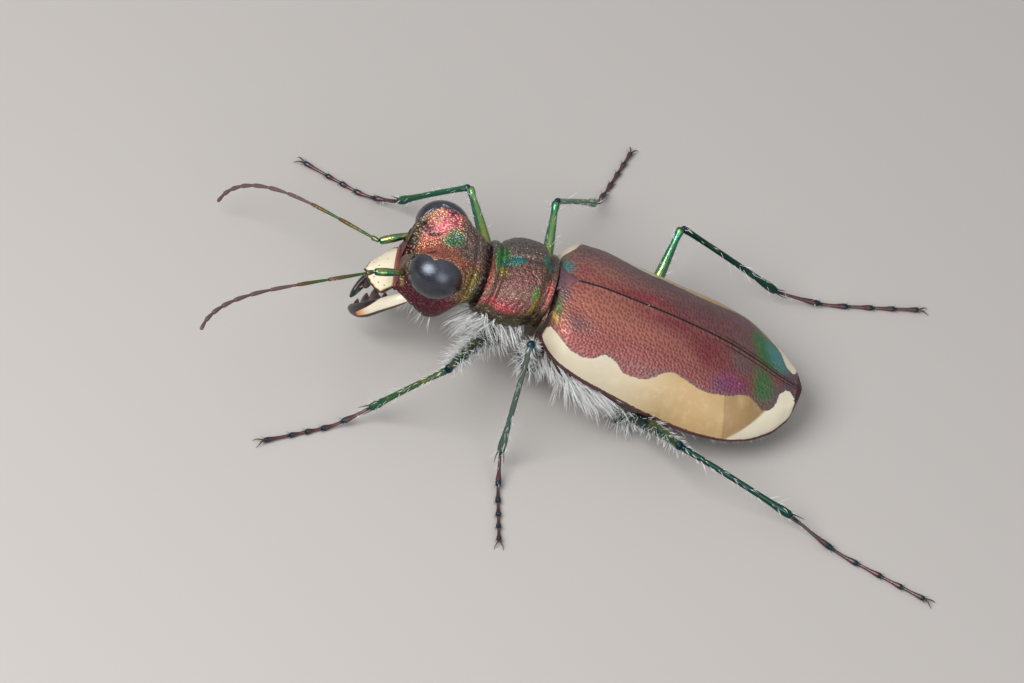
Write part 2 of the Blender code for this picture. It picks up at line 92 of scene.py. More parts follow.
@dataclass(frozen=True)
class Profile:
    """A smooth value along a length, through a few (place, value) stations."""

    stations: tuple[Pair, ...]

    def at(self, place: Any) -> Array:
        """Value at each place.

        Args:
            place: one place or an array of them; beyond the ends the end values hold.

        Returns:
            The values, in the shape of place.
        """
        places, values = np.array(self.stations, float).T
        slopes = np.gradient(values, places)
        spot = np.clip(np.asarray(place, float), places[0], places[-1])
        i = np.clip(np.searchsorted(places, spot, side="right") - 1, 0, len(places) - 2)
        span = places[i + 1] - places[i]
        u = (spot - places[i]) / span
        rise = (1 + 2 * u) * (1 - u) ** 2 * values[i] + u * u * (3 - 2 * u) * values[i + 1]
        lean = u * (1 - u) ** 2 * slopes[i] - u * u * (1 - u) * slopes[i + 1]
        return rise + lean * span


def through(places: Sequence[float], values: Sequence[float]) -> Profile:
    """Profile with these values at these places."""
    return Profile(tuple(zip(places, values)))


def hump(value: Any, centre: float, width: float) -> Array:
    """Bell that is 1 at its centre and fades over its width."""
    return np.exp(-((value - centre) / width) ** 2)


def humps(rows: Sequence[Numbers], *places: Any) -> Array:
    """Sum of bumps and dips.

    Args:
        rows: for each one, its height, and then its centre and width on each coordinate.
        places: the coordinates; a row may leave out the last ones.

    Returns:
        The summed height.
    """
    total = 0.0
    for height, *ovals in rows:
        for place, centre, width in zip(places, ovals[::2], ovals[1::2]):
            height = height * hump(place, centre, width)
        total = total + height
    return total


def power(value: Any, exponent: float) -> Array:
    """Signed power, for rounded-square sections."""
    return np.sign(value) * np.abs(value) ** exponent


def clamp(value: Any) -> Array:
    """Values held between 0 and 1."""
    return np.clip(value, 0.0, 1.0)


def unit(vectors: Any) -> Array:
    """Vectors scaled to length 1."""
    return vectors / np.maximum(np.linalg.norm(vectors, axis=-1, keepdims=True), 1e-12)


def lattice(first: Array, second: Array) -> Sequence[Array]:
    """Two rows of numbers crossed into a grid."""
    return np.meshgrid(first, second, indexing="ij")


def circle(spots: int, start: float = 0.0) -> Array:
    """Evenly spaced angles, once around."""
    return start + np.linspace(0.0, math.tau, spots, endpoint=False)


def running(values: Any) -> Array:
    """Running sums, from 0."""
    return np.concatenate([[0.0], np.cumsum(values)])


def reaches(path: Array) -> Array:
    """Distance along a path to each of its points."""
    return running(np.linalg.norm(np.diff(path, axis=0), axis=1))


def shrunk(points: Array, factor: Any) -> Array:
    """Points scaled about the middle of them all, with one factor or one for each axis."""
    return points.mean(axis=0) + (points - points.mean(axis=0)) * factor


def mirrored(points: Any, side: int) -> Array:
    """Points of the left side, or their mirror image for the right side, which is -1."""
    return np.asarray(points, float) * (side, 1, 1)


@dataclass(frozen=True)
class Stance:
    """How the trunk stands over the floor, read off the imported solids."""

    pitch: float = math.radians(14.0)
    margin_height: float = 2.65
    scutellum_bottom: float = 0.9

    def shift(self) -> Array:
        """Place of the trunk's origin on the floor.

        Returns:
            The place, from the pronotum's middle and the scutellum's front.
        """
        low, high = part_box("prothorax")
        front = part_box("scutellum")[0].y / MM - self.scutellum_bottom * math.sin(self.pitch)
        return np.array(((low.x + high.x) / 2 / MM, front, 0.0))

    def turned(self, vectors: Any) -> Array:
        """Directions of the trunk's frame in the floor's frame.

        Args:
            vectors: (..., 3) directions.

        Returns:
            The turned directions.
        """
        x, y, z = np.moveaxis(np.asarray(vectors, float), -1, 0)
        c, s = math.cos(self.pitch), math.sin(self.pitch)
        return np.stack([x, y * c + z * s, z * c - y * s], -1)

    def placed(self, points: Any) -> Array:
        """Points of the trunk's frame in the floor's frame."""
        return self.turned(points) + ORIGIN + np.array((0.0, 0.0, self.margin_height))


STANCE = Stance()
ORIGIN = STANCE.shift()


# ---- shader maths

class Socket:
    """A value inside a material; its operators add Math nodes."""

    def __init__(self, shader: "Shader", socket: bpy.types.NodeSocket) -> None:
        """Hold an output socket and the shader that it is in."""
        self.shader = shader
        self.socket = socket

    def __add__(self, other: Any) -> "Socket":
        """Sum."""
        return self.shader.maths("ADD", self, other)

    __radd__ = __add__

    def __sub__(self, other: Any) -> "Socket":
        """Difference."""
        return self.shader.maths("SUBTRACT", self, other)

    def __rsub__(self, other: float) -> "Socket":
        """Difference from a number."""
        return self.shader.maths("SUBTRACT", other, self)

    def __mul__(self, other: Any) -> "Socket":
        """Product."""
        return self.shader.maths("MULTIPLY", self, other)

    __rmul__ = __mul__

    def __truediv__(self, other: Any) -> "Socket":
        """Quotient."""
        return self.shader.maths("DIVIDE", self, other)

    def __rtruediv__(self, other: float) -> "Socket":
        """Quotient of a number."""
        return self.shader.maths("DIVIDE", other, self)

    def __pow__(self, other: Any) -> "Socket":
        """Power."""
        return self.shader.maths("POWER", self, other)

    def __rpow__(self, other: float) -> "Socket":
        """Power of a number."""
        return self.shader.maths("POWER", other, self)

    def __abs__(self) -> "Socket":
        """Size without sign."""
        return self.shader.maths("ABSOLUTE", self)

    def most(self, other: Any) -> "Socket":
        """The larger of two values."""
        return self.shader.maths("MAXIMUM", self, other)

    def rise(self, low: float, high: float) -> "Socket":
        """Smooth step from 0 at low to 1 at high.

        Args:
            low: value where the step starts.
            high: value where it is complete, which may be the smaller one.

        Returns:
            The stepped value.
        """
        flip = float(high < low)
        ends = {"From Min": min(low, high), "From Max": max(low, high), "To Min": flip, "To Max": 1.0 - flip}
        settings = {"interpolation_type": "SMOOTHSTEP"}
        return self.shader.node("ShaderNodeMapRange", settings, {"Value": self, **ends})


class Shader:
    """A material or a world under construction, with the nodes that feed it."""

    def __init__(self, owner: Any) -> None:
        """Give the material or the world its nodes."""
        owner.use_nodes = True
        self.tree = owner.node_tree

    def node(self, kind: str, settings: dict[str, Any] | None = None, inputs: dict[Any, Any] | None = None,
             output: Any = 0) -> Socket:
        """Any node.

        Args:
            kind: the node's type.
            settings: its properties, set first; "stops" sets a colour ramp's stops.
            inputs: value or link of each socket, by name or number.
            output: name or number of the output that is wanted.

        Returns:
            That output.
        """
        node = self.tree.nodes.new(kind)
        for key, value in (settings or {}).items():
            if key == "stops":
                stops = node.color_ramp.elements
                while len(stops) < len(value):
                    stops.new(0.5)
                for stop, (place, colour) in zip(stops, value):
                    stop.position = place
                    stop.color = (*colour, 1.0)
            else:
                setattr(node, key, value)
        for key, value in (inputs or {}).items():
            self.feed(node.inputs[key], value)
        return Socket(self, node.outputs[output])

    def feed(self, target: bpy.types.NodeSocket, value: Any) -> None:
        """Set or link one input socket.

        Args:
            target: the socket.
            value: a number, a colour, a vector or another node's output.
        """
        if isinstance(value, Socket):
            self.tree.links.new(value.socket, target)
        else:
            target.default_value = (*value, 1.0) if target.type == "RGBA" else value

    def maths(self, operation: str, *values: Any) -> Socket:
        """Values through one Math node."""
        return self.node("ShaderNodeMath", {"operation": operation}, dict(enumerate(values)))

    def painted(self, name: str, output: str = "Fac") -> Socket:
        """A number or a vector painted on the mesh."""
        return self.node("ShaderNodeAttribute", {"attribute_name": name}, output=output)

    def place(self) -> Sequence[Socket]:
        """Place in the trunk's frame, painted on the mesh."""
        return self.axes(self.painted("place", "Vector"))

    def spot(self) -> Socket:
        """Place on the piece, in millimetres."""
        place = self.node("ShaderNodeTexCoord", output="Object")
        return self.node("ShaderNodeVectorMath", {"operation": "SCALE"}, {0: place, "Scale": 1 / MM})

    def axes(self, vector: Socket) -> Sequence[Socket]:
        """The three parts of a vector."""
        split = self.node("ShaderNodeSeparateXYZ", inputs={0: vector})
        return [Socket(self, part) for part in split.socket.node.outputs]

    def noise(self, scale: float, detail: float = 2.0, roughness: float = 0.5) -> Socket:
        """Cloudy noise with so many waves to a millimetre."""
        inputs = {"Vector": self.spot(), "Scale": scale, "Detail": detail, "Roughness": roughness}
        return self.node("ShaderNodeTexNoise", inputs=inputs, output="Fac")

    def cells(self, scale: float, output: str = "Distance", randomness: float = 1.0,
              place: Socket | None = None) -> Socket:
        """Cells, like those of foam.

        Args:
            scale: how many there are to a millimetre.
            output: the distance from a cell's middle, or "Color" for a random colour.
            randomness: 0 for a square grid, 1 for the least order.
            place: flat coordinates, where the place on the piece isn't wanted.

        Returns:
            That output.
        """
        inputs = {"Vector": place or self.spot(), "Scale": scale, "Randomness": randomness}
        settings = {"voronoi_dimensions": "2D" if place else "3D"}
        return self.node("ShaderNodeTexVoronoi", settings, inputs, output)

    def mix(self, factor: Any, first: Any, second: Any) -> Socket:
        """Blend of two colours, by the share of the second one."""
        return self.node("ShaderNodeMix", {"data_type": "RGBA"}, {0: factor, 6: first, 7: second}, 2)

    def layered(self, base: Any, layers: Sequence[tuple[Any, ...]], u: Any = None, v: Any = None) -> Socket:
        """A colour with others laid over it in turn.

        Args:
            base: the lowest colour.
            layers: (factor, colour) pairs, and oval patches as their two middles, two half widths, softness,
                strength and colour.
            u: first coordinate of the patches.
            v: their second coordinate.

        Returns:
            The colour.
        """
        for *place, colour in layers:
            factor = place[0]
            if len(place) > 1:
                factor = blob(u, v, place[:2], place[2:4], place[4])
                factor = factor * place[5] if place[5] < 1 else factor
            base = self.mix(factor, base, colour)
        return base

    def bump(self, height: Socket, depth: float, normal: Socket | None = None) -> Socket:
        """Relief of a depth in millimetres, over another one if given."""
        under = {"Normal": normal} if normal else {}
        return self.node("ShaderNodeBump", inputs={"Height": height, "Distance": depth * MM, **under})

    def dress(self, **values: Any) -> None:
        """Feed the Principled shader; underscores stand for spaces."""
        for key, value in values.items():
            self.feed(self.tree.nodes["Principled BSDF"].inputs[key.replace("_", " ")], value)


def blob(x: Socket, y: Socket, centre: Sequence[float], size: Sequence[float], soft: float = 1.0) -> Socket:
    """Soft oval patch on two coordinates: 1 inside, 0 from its half widths out, fading over a share."""
    reach = (((x - centre[0]) / size[0]) ** 2 + ((y - centre[1]) / size[1]) ** 2) ** 0.5
    return reach.rise(1.0, 1.0 - soft)


def dust_and_sparkle(shader: Shader, per_mm: float, share: float, size: float = 0.16) -> Socket:
    """Sparse bright specks, partly dust and partly painted sparkle of single granules catching the light.

    Args:
        shader: the material.
        per_mm: possible specks to a millimetre.
        share: share of them that are there.
        size: radius of a speck, as a share of its cell.

    Returns:
        1 on a speck, 0 elsewhere.
    """
    distance = shader.cells(per_mm)
    pick = shader.axes(shader.cells(per_mm, "Color"))[0]
    return distance.rise(size, size * 0.6) * pick.rise(1 - share, 1 - share + 0.01)


# ---- finishes

@dataclass(frozen=True)
class WingCaseFinish:
    """Finely pitted metallic ground with a smooth cream band, dark at the rim and at the suture."""

    side: int
    maroon: Triple = (0.35, 0.108, 0.096)
    rust: Triple = (0.47, 0.168, 0.115)
    crimson: Triple = (0.29, 0.045, 0.055)
    plum: Triple = (0.34, 0.08, 0.19)
    leaf: Triple = (0.04, 0.2, 0.06)
    teal: Triple = (0.06, 0.29, 0.28)
    slate: Triple = (0.16, 0.12, 0.125)
    cream: Triple = (0.56, 0.485, 0.345)
    amber: Triple = (0.45, 0.285, 0.115)
    tan: Triple = (0.23, 0.13, 0.045)
    rim: Triple = (0.045, 0.01, 0.013)
    pits: float = 9.5

    def ground(self, shader: Shader, t: Socket, s: Socket) -> Socket:
        """Colour of the metallic ground.

        Args:
            shader: the material.
            t: share of the length.
            s: share of the way from the suture to the margin.

        Returns:
            The colour.
        """
        colour = shader.layered(self.maroon, [
            (0.16, 0.16, 0.3, 0.34, 1, 0.9, self.rust),
            (0.035, 0.46, 0.06, 0.26, 0.9, 0.9, self.rust),
            (0.4, 0.24, 0.26, 0.15, 1, 0.7, self.rust),
            (0.46, 0.06, 0.24, 0.11, 0.9, 0.6, self.crimson),
            (0.6, 0.16, 0.13, 0.17, 0.9, 1, self.crimson),
            (0.71, 0.34, 0.1, 0.18, 0.8, 1, self.plum),
            (0.66, 0.4, 0.05, 0.12, 0.9, 0.8, (0.22, 0.1, 0.2)),
            ((t - s * 0.1).rise(0.16, 0.7) * 0.38, (0.08, 0.025, 0.03)),
            (0.095, 0.4, 0.09, 0.17, 1, 0.6, self.slate),
            (0.46, 0.56, 0.36, 0.12, 1, 0.5, self.slate),
            (0.74, 0.1, 0.09, 0.14, 0.9, 0.7, self.slate),
            (0.88, 0.28, 0.09, 0.3, 0.8, 0.9, self.slate),
            (0.835, 0.2, 0.065, 0.3, 0.8, 0.85, self.leaf),
            (0.005, 0.4, 0.04, 0.34, 0.8, 0.8, self.leaf),
            (0.012, 0.12, 0.05, 0.22, 0.8, 0.8, self.slate),
            (t.rise(0.89, 0.93) * 0.85, (0.12, 0.085, 0.11)),
            (0.012, 0.52, 0.026, 0.09, 0.8, 1, (0.62, 0.38, 0.11)),
        ], t, s)
        if self.side > 0:
            return colour
        return shader.layered(colour, [
            (0.42, 0.4, 0.62, 0.46, 0.8, 0.85, self.slate),
            (s.rise(0.35, 0.6) * 0.5, (0.13, 0.11, 0.09)),
            (0.55, 0.1, 0.4, 0.3, 0.9, 0.6, (0.17, 0.075, 0.08)),
            (0.09, 0.12, 0.09, 0.14, 0.9, 0.9, self.maroon),
            (0.3, 0.04, 0.26, 0.1, 0.9, 0.8, self.crimson),
            (0.85, 0.26, 0.095, 0.42, 0.6, 1, self.leaf),
            (0.89, 0.24, 0.08, 0.3, 0.7, 1, self.teal),
            (0.02, 0.16, 0.05, 0.17, 0.8, 1, self.teal),
            (0.815, 0.58, 0.05, 0.12, 0.9, 1, (0.42, 0.27, 0.19)),
        ], t, s)

    def pale(self, shader: Shader, along: Socket, across: Socket) -> Socket:
        """Colour of the band: cream at both ends, amber between, and a tan patch near the tail.

        Args:
            shader: the material.
            along: share of the length.
            across: share of the way from the suture to the margin.

        Returns:
            The colour.
        """
        deep = along.rise(0.2, 0.58) * along.rise(0.97, 0.84)
        bend = along + across * 0.22 + (across - 0.75) ** 2.0 * 0.1
        patch = (along - across * 0.12).rise(0.632, 0.638) * bend.rise(0.99, 0.978)
        pip = blob(along, across, (0.765, 0.45), (0.035, 0.12), 0.9)
        cloud = shader.noise(4.0, 4.0, 0.65)
        return shader.layered(self.cream, [
            (deep * 0.95, self.amber),
            (patch * (0.42 + cloud * 0.3 + along.rise(0.76, 0.9) * 0.25) * (1 - pip * 0.6), self.tan),
            (bend.rise(0.975, 0.992), (0.69, 0.62, 0.46)),
            ((cloud - 0.45).rise(0.0, 0.25) * 0.15, (0.7, 0.61, 0.43)),
        ])

    def dress(self, shader: Shader) -> None:
        """Feed the finish of one wing case.

        Args:
            shader: the material.
        """
        along, across, band, rim = (shader.painted(key) for key in ("along", "across", "band", "rim"))
        drift = shader.noise(0.9, 3.0, 0.6) - 0.5
        flat = shader.node("ShaderNodeCombineXYZ", inputs={0: along * CASE_LENGTH, 1: across * CASE_GIRTH})
        distance = shader.cells(self.pits, place=flat, randomness=0.8)
        tint = shader.axes(shader.cells(self.pits, "Color", 0.8, flat))[0]
        fine = shader.noise(26.0, 2.0, 0.6)
        ground = self.ground(shader, along + drift * 0.06, across + drift * 0.16)
        pit = distance.rise(0.58, 0.08)
        bead = abs(across - 0.026).rise(0.007, 0.003) * along.rise(0.55, 0.72) * 0.8
        edge = band + (shader.noise(3.4, 4.0, 0.7) - 0.5) * 0.2 + (fine - 0.5) * 0.05
        inside = edge.rise(-0.012, 0.014)
        border = edge.rise(-0.16, -0.01) * (1 - inside)
        ragged = rim + (fine - 0.5) * 0.08 - along.rise(0.6, 0.2) * 0.02
        dark = (ragged - along.rise(0.8, 0.95) * 0.07).rise(0.105, 0.085)
        # Bright specks, partly dust and partly painted sparkle.
        speck_and_sparkle = dust_and_sparkle(shader, 2.6, 0.22, 0.055)
        colour = shader.layered(ground, [
            (tint.rise(0.45, 1.0) * 0.14, (0.56, 0.24, 0.19)),
            (pit * (0.42 - along * 0.24), (0.06, 0.018, 0.02)),
            (bead.most(across.rise(0.006, 0.0035)), (0.006, 0.012, 0.01)),
            (border * 0.45, self.slate),
            (inside, self.pale(shader, along, across)),
            (dark, shader.mix(fine.rise(0.5, 0.64), self.rim, (0.11, 0.02, 0.022))),
            (speck_and_sparkle, (0.75, 0.7, 0.62)),
        ])
        metal = (1 - inside) * (1 - speck_and_sparkle) * (1 - dark * 0.6) * 0.55
        rough = shader.noise(7.0, 2.0) * 0.1 + 0.4 + inside * 0.06
        normal = shader.bump((1 - pit) * (1 - inside * 0.96), 0.016)
        normal = shader.bump(fine, 0.0025, normal)
        shader.dress(Base_Color=colour, Metallic=metal, Roughness=rough, Normal=normal,
                     Coat_Weight=0.08 + inside * 0.1, Coat_Roughness=0.3)


@dataclass(frozen=True)
class HeadFinish:
    """Copper head: rose between the eyes, green on the crown, olive behind, crimson on the cheeks."""

    copper: Triple = (0.74, 0.27, 0.18)
    rose: Triple = (0.8, 0.165, 0.21)
    orange: Triple = (0.92, 0.28, 0.13)
    leaf: Triple = (0.08, 0.32, 0.13)
    olive: Triple = (0.25, 0.17, 0.08)
    slate: Triple = (0.24, 0.18, 0.155)
    moss: Triple = (0.06, 0.095, 0.04)
    gold: Triple = (0.3, 0.26, 0.04)
    crimson: Triple = (0.125, 0.009, 0.034)

    def dress(self, shader: Shader) -> None:
        """Feed the finish of the head capsule.

        Args:
            shader: the material.
        """
        x, y, z = shader.place()
        drift = shader.noise(1.6, 3.0, 0.6) - 0.5
        u, v = x + drift * 0.5, y + drift * 0.4
        grain = shader.cells(18.0)
        ridges = self.ridges(shader, x, y)
        reach = self.from_eye(abs(x), y, z)
        high = z.rise(-0.6, 0.1) * 0.75 + 0.25
        tint = shader.axes(shader.cells(18.0, "Color"))[1]
        # Bright specks, partly dust and partly painted sparkle.
        speck_and_sparkle = dust_and_sparkle(shader, 5.0, 0.16, 0.11).most(dust_and_sparkle(shader, 9.0, 0.4, 0.14) * v.rise(-3.85, -4.0))
        colour = shader.layered(self.copper, [
            (-3.7, -0.85, 0.7, 0.74, 0.5, 1, self.rose),
            (-3.62, 0.62, 0.26, 0.3, 0.8, 0.8, (0.7, 0.16, 0.26)),
            (-3.85, 0.05, 0.4, 0.5, 0.9, 0.7, self.orange),
            (v.rise(-3.88, -4.06), self.moss),
            (v.rise(-3.18, -2.85) * u.rise(0.62, 0.3), self.slate),
            (v.rise(-3.0, -2.6) * u.rise(0.4, 0.7) * 0.9, self.olive),
            (-3.13, -0.16, 0.4, 0.46, 0.6, 1, self.leaf),
            (-3.06, -0.26, 0.16, 0.2, 0.8, 1, (0.04, 0.26, 0.21)),
            (-2.96, 0.74, 0.32, 0.36, 0.6, 1, self.orange),
            (-3.4, -0.92, 0.16, 0.16, 0.8, 0.8, (0.11, 0.025, 0.02)),
            # Orange along the upper rim of each eye socket: partly the rim's own colour, partly a painted
            # highlight.
            (reach.rise(1.07, 1.04) * z.rise(0.65, 0.85) * v.rise(-3.55, -3.7) * 0.7, (0.9, 0.48, 0.26)),
            (-2.42, 0.92, 0.24, 0.46, 0.8, 1, self.gold),
            (-2.18, 0.9, 0.14, 0.46, 0.8, 0.8, self.leaf),
            (z.rise(0.15, -0.25) * v.rise(-2.1, -2.4), self.crimson),
            (z.rise(-0.75, -1.1) * 0.8, (0.04, 0.008, 0.014)),
            (blob(v, z, (-2.8, -0.35), (0.3, 0.3), 0.9) * 0.8, (0.27, 0.025, 0.05)),
            (blob(v, z, (-4.12, -0.42), (0.08, 0.26), 0.8), (0.5, 0.34, 0.1)),
            (v.rise(-2.2, -2.08), (0.03, 0.03, 0.04)),
            # Dark ring around the lower part of each eye: partly the socket's dark rim, partly painted shade
            # in the crease.
            (reach.rise(1.07, 1.01) * z.rise(0.8, 0.6) * 0.8, (0.02, 0.012, 0.014)),
            (tint.rise(0.5, 0.95) * high * 0.42, (0.96, 0.56, 0.43)),
            (grain.rise(0.34, 0.6) * 0.66, (0.045, 0.018, 0.018)),
            (speck_and_sparkle, (0.8, 0.76, 0.7)),
        ], v, u)
        rough = shader.noise(9.0) * 0.14 + 0.25
        normal = shader.bump(ridges, 0.008)
        normal = shader.bump((0.6 - grain).most(0.0), 0.034, normal)
        shader.dress(Base_Color=colour, Metallic=(1 - speck_and_sparkle) * 0.72, Roughness=rough, Normal=normal)

    def from_eye(self, x: Socket, y: Socket, z: Socket) -> Socket:
        """Distance from the middle of the left eye, in its radii."""
        a, b, c = (((at - eye) / size) ** 2.0 for at, eye, size in zip((x, y, z), EYE_MIDDLE, EYE_RADII))
        return (a + b + c) ** 0.5

    def ridges(self, shader: Shader, x: Socket, y: Socket) -> Socket:
        """Fine lengthwise wrinkles along the inner side of each eye."""
        wave = shader.maths("SINE", abs(x) * 92.0 + shader.noise(3.0) * 5.0) * 0.5 + 0.5
        return wave * abs(x).rise(0.42, 0.7) * y.rise(-2.75, -3.05)


@dataclass(frozen=True)
class PronotumFinish:
    """Granular copper shield, green in its grooves and rose along its sides."""

    brown: Triple = (0.24, 0.122, 0.096)
    rose: Triple = (0.76, 0.11, 0.13)
    plum: Triple = (0.23, 0.08, 0.08)
    leaf: Triple = (0.04, 0.33, 0.08)
    teal: Triple = (0.04, 0.3, 0.26)
    gold: Triple = (0.52, 0.4, 0.08)
    slate: Triple = (0.19, 0.16, 0.15)

    def dress(self, shader: Shader) -> None:
        """Feed the finish of the shield and of the sides below it.

        Args:
            shader: the material.
        """
        x, y, z = shader.place()
        drift = shader.noise(1.8, 3.0, 0.6) - 0.5
        u, v = x + drift * 0.5, y + drift * 0.35
        level = z - y * 0.3
        grain = shader.cells(20.0)
        tint = shader.axes(shader.cells(20.0, "Color"))
        powder = u.rise(0.1, -0.25).most(v.rise(-1.86, -1.95) * 0.9)
        # Bright specks, partly dust and partly painted sparkle.
        speck_and_sparkle = dust_and_sparkle(shader, 6.0, 0.24, 0.11).most(dust_and_sparkle(shader, 9.0, 0.55, 0.14) * powder)
        colour = shader.layered(self.brown, [
            (u.rise(0.15, -0.45), self.slate),
            (-1.15, 0.7, 0.7, 0.62, 0.8, 0.9, self.plum),
            (blob(v, level, (-1.2, 1.04), (0.85, 0.36), 1.0) * u.rise(0.5, 0.85) * 0.8, (0.46, 0.09, 0.13)),
            (blob(v, level, (-1.42, 0.93), (0.78, 0.17), 0.8) * u.rise(0.7, 0.95) * 0.9, self.rose),
            (-1.72, -0.08, 0.24, 0.72, 0.6, 1, self.leaf),
            (-1.64, 0.42, 0.16, 0.26, 0.8, 0.8, self.gold),
            (-1.4, 0.1, 0.44, 0.26, 0.6, 1, self.teal),
            (-0.85, 0.14, 0.42, 0.16, 0.8, 0.8, (0.09, 0.08, 0.07)),
            (-0.45, -0.05, 0.26, 0.36, 0.8, 1, self.teal),
            (-0.22, 0.74, 0.11, 0.42, 0.7, 0.8, self.rose),
            (-0.52, 1.12, 0.2, 0.32, 0.7, 1, self.gold),
            (-0.64, 1.0, 0.14, 0.22, 0.8, 0.8, self.leaf),
            (-1.95, 0.6, 0.11, 0.8, 0.5, 1, (0.4, 0.09, 0.06)),
            (level.rise(0.8, 0.66), (0.09, 0.065, 0.03)),
            (blob(v, z, (-0.9, -0.2), (0.5, 0.3), 0.9) * 0.6, (0.05, 0.09, 0.03)),
            (tint[1].rise(0.6, 0.95) * 0.24, (0.76, 0.46, 0.36)),
            (tint[2].rise(0.8, 0.98) * 0.3, self.leaf),
            (grain.rise(0.32, 0.62) * 0.58, (0.04, 0.024, 0.022)),
            (speck_and_sparkle, (0.85, 0.82, 0.78)),
        ], v, u)
        rough = shader.noise(9.0) * 0.14 + 0.32
        normal = shader.bump((0.62 - grain).most(0.0), 0.026)
        shader.dress(Base_Color=colour, Metallic=(1 - speck_and_sparkle) * 0.72, Roughness=rough, Normal=normal)


@dataclass(frozen=True)
class EyeFinish:
    """Near-black compound eye under a fine mesh of facets, browner below, with a painted grey sheen on top.
    """

    black: Triple = (0.009, 0.009, 0.014)
    brown: Triple = (0.016, 0.012, 0.011)
    # Colour of random mottling, and of the painted sheen on top.
    grey: Triple = (0.08, 0.08, 0.098)
    facets: float = 36.0

    def dress(self, shader: Shader) -> None:
        """Feed the finish of both eyes.

        Args:
            shader: the material.
        """
        height = shader.place()[2]
        cloud = shader.noise(2.2, 2.0, 0.5)
        facet = shader.cells(self.facets, randomness=0.25)
        colour = shader.layered(self.black, [
            (height.rise(0.55, -0.15), self.brown),
            ((cloud - 0.5).rise(0.0, 0.2) * 0.35, self.grey),
            # Painted sheen: lighter grey towards the top of the eye.
            (height.rise(0.55, 1.1) * 0.3, self.grey),
            (facet.rise(0.4, 0.6) * 0.45, (0.004, 0.004, 0.005)),
        ])
        normal = shader.bump((0.6 - facet).most(0.0), 0.004)
        shader.dress(Base_Color=colour, Roughness=cloud * 0.1 + 0.16, Normal=normal, Specular_IOR_Level=1.0,
                     Specular_Tint=(0.8, 0.87, 1.0))


@dataclass(frozen=True)
class IvoryFinish:
    """Cream horn of the upper lip, dark along its edge, with brown pores."""

    cream: Triple = (0.8, 0.705, 0.51)
    warm: Triple = (0.62, 0.42, 0.18)
    dark: Triple = (0.02, 0.01, 0.009)

    def dress(self, shader: Shader) -> None:
        """Feed the finish of the upper lip.

        Args:
            shader: the material.
        """
        edge, pore = shader.painted("edge"), shader.painted("pore")
        cloud = shader.noise(3.0, 3.0) - 0.5
        colour = shader.layered(self.cream, [
            (cloud.rise(0.0, 0.25) * 0.35, self.warm),
            ((edge + cloud * 0.08).rise(0.125, 0.06), self.warm),
            ((edge + cloud * 0.06).rise(0.072, 0.045), self.dark),
            (pore, (0.12, 0.05, 0.03)),
        ])
        normal = shader.bump(shader.noise(14.0, 2.0), 0.004)
        shader.dress(Base_Color=colour, Roughness=cloud * 0.15 + 0.32, Normal=normal, Coat_Weight=0.25,
                     Coat_Roughness=0.2)


@dataclass(frozen=True)
class JawFinish:
    """Jaw: ivory outer face, amber towards the tip, black edges, teeth and point."""

    cream: Triple = (0.66, 0.59, 0.45)
    amber: Triple = (0.56, 0.2, 0.03)
    black: Triple = (0.016, 0.008, 0.008)
    teal: Triple = (0.012, 0.032, 0.034)

    def dress(self, shader: Shader) -> None:
        """Feed the finish of both jaws.

        Args:
            shader: the material.
        """
        along, face, tooth = (shader.painted(key) for key in ("along", "face", "tooth"))
        cloud = shader.noise(3.5, 3.0) - 0.5
        start = ((along - 0.42) * 3.5 - 0.85).most(-1.05)
        bare = (face + cloud * 0.12 - start).rise(-0.05, 0.09) * face.rise(0.93, 0.84)
        bare = bare * (along + cloud * 0.05).rise(0.78, 0.74) * (1 - tooth)
        colour = shader.layered(self.black, [
            (cloud.rise(0.0, 0.2), self.teal),
            (tooth * cloud.rise(0.05, -0.1) * 0.8, (0.09, 0.022, 0.014)),
            (bare, shader.mix((along + cloud * 0.06).rise(0.52, 0.76), self.cream, self.amber)),
            (bare * (1 - bare) * 3.0, (0.18, 0.05, 0.015)),
        ])
        normal = shader.bump(shader.noise(10.0, 3.0), 0.006)
        shader.dress(Base_Color=colour, Roughness=0.3 + cloud * 0.16, Normal=normal, Coat_Weight=0.35,
                     Coat_Roughness=0.15)


@dataclass(frozen=True)
class LimbFinish:
    """Metallic limb: one colour along its length into another, random patches and dark flecks, dark at the
    ends, with a painted highlight on top and painted shade below.
    """

    first: Triple
    second: Triple
    # Colour of random patches, and of the painted highlight along the upward-facing side.
    patch_and_highlight: Triple
    # Colour of dark flecks and joint ends, and of the painted shade on the downward-facing side.
    ends: Triple
    metal: float = 0.8
    roughness: float = 0.28
    grain: float = 16.0
    depth: float = 0.008
    middle: float = 0.455
    # Strength of the painted highlight on top and the painted shade below.
    painted_light_strength: float = 0.0

    def dress(self, shader: Shader) -> None:
        """Feed the finish of a limb.

        Args:
            shader: the material.
        """
        along = shader.painted("along")
        cloud = shader.noise(2.6, 3.0, 0.6) - 0.5
        fine = shader.noise(self.grain, 2.0, 0.6)
        # How far the surface faces upwards, which places the painted highlight and the painted shade.
        up = shader.axes(shader.node("ShaderNodeTexCoord", output="Normal"))[2] + cloud * 0.3
        colour = shader.layered(self.first, [
            ((along + cloud * 0.7).rise(0.25, 0.8), self.second),
            ((cloud * 2.2 + shader.noise(0.9) - 0.5).rise(0.12, 0.5) * 0.8, self.patch_and_highlight),
            ((fine - 0.5).rise(0.02, 0.16) * 0.5, self.ends),
            # Painted highlight along the upward-facing side, painted shade on the downward-facing side.
            (up.rise(0.62, 0.95) * self.painted_light_strength * 0.6, self.patch_and_highlight),
            (up.rise(0.66, 0.1) * self.painted_light_strength, self.ends),
            (abs(along - 0.5).rise(self.middle, self.middle + 0.035), self.ends),
        ])
        normal = shader.bump(fine, self.depth)
        rough = self.roughness + cloud * 0.2
        shader.dress(Base_Color=colour, Metallic=self.metal, Roughness=rough, Normal=normal)


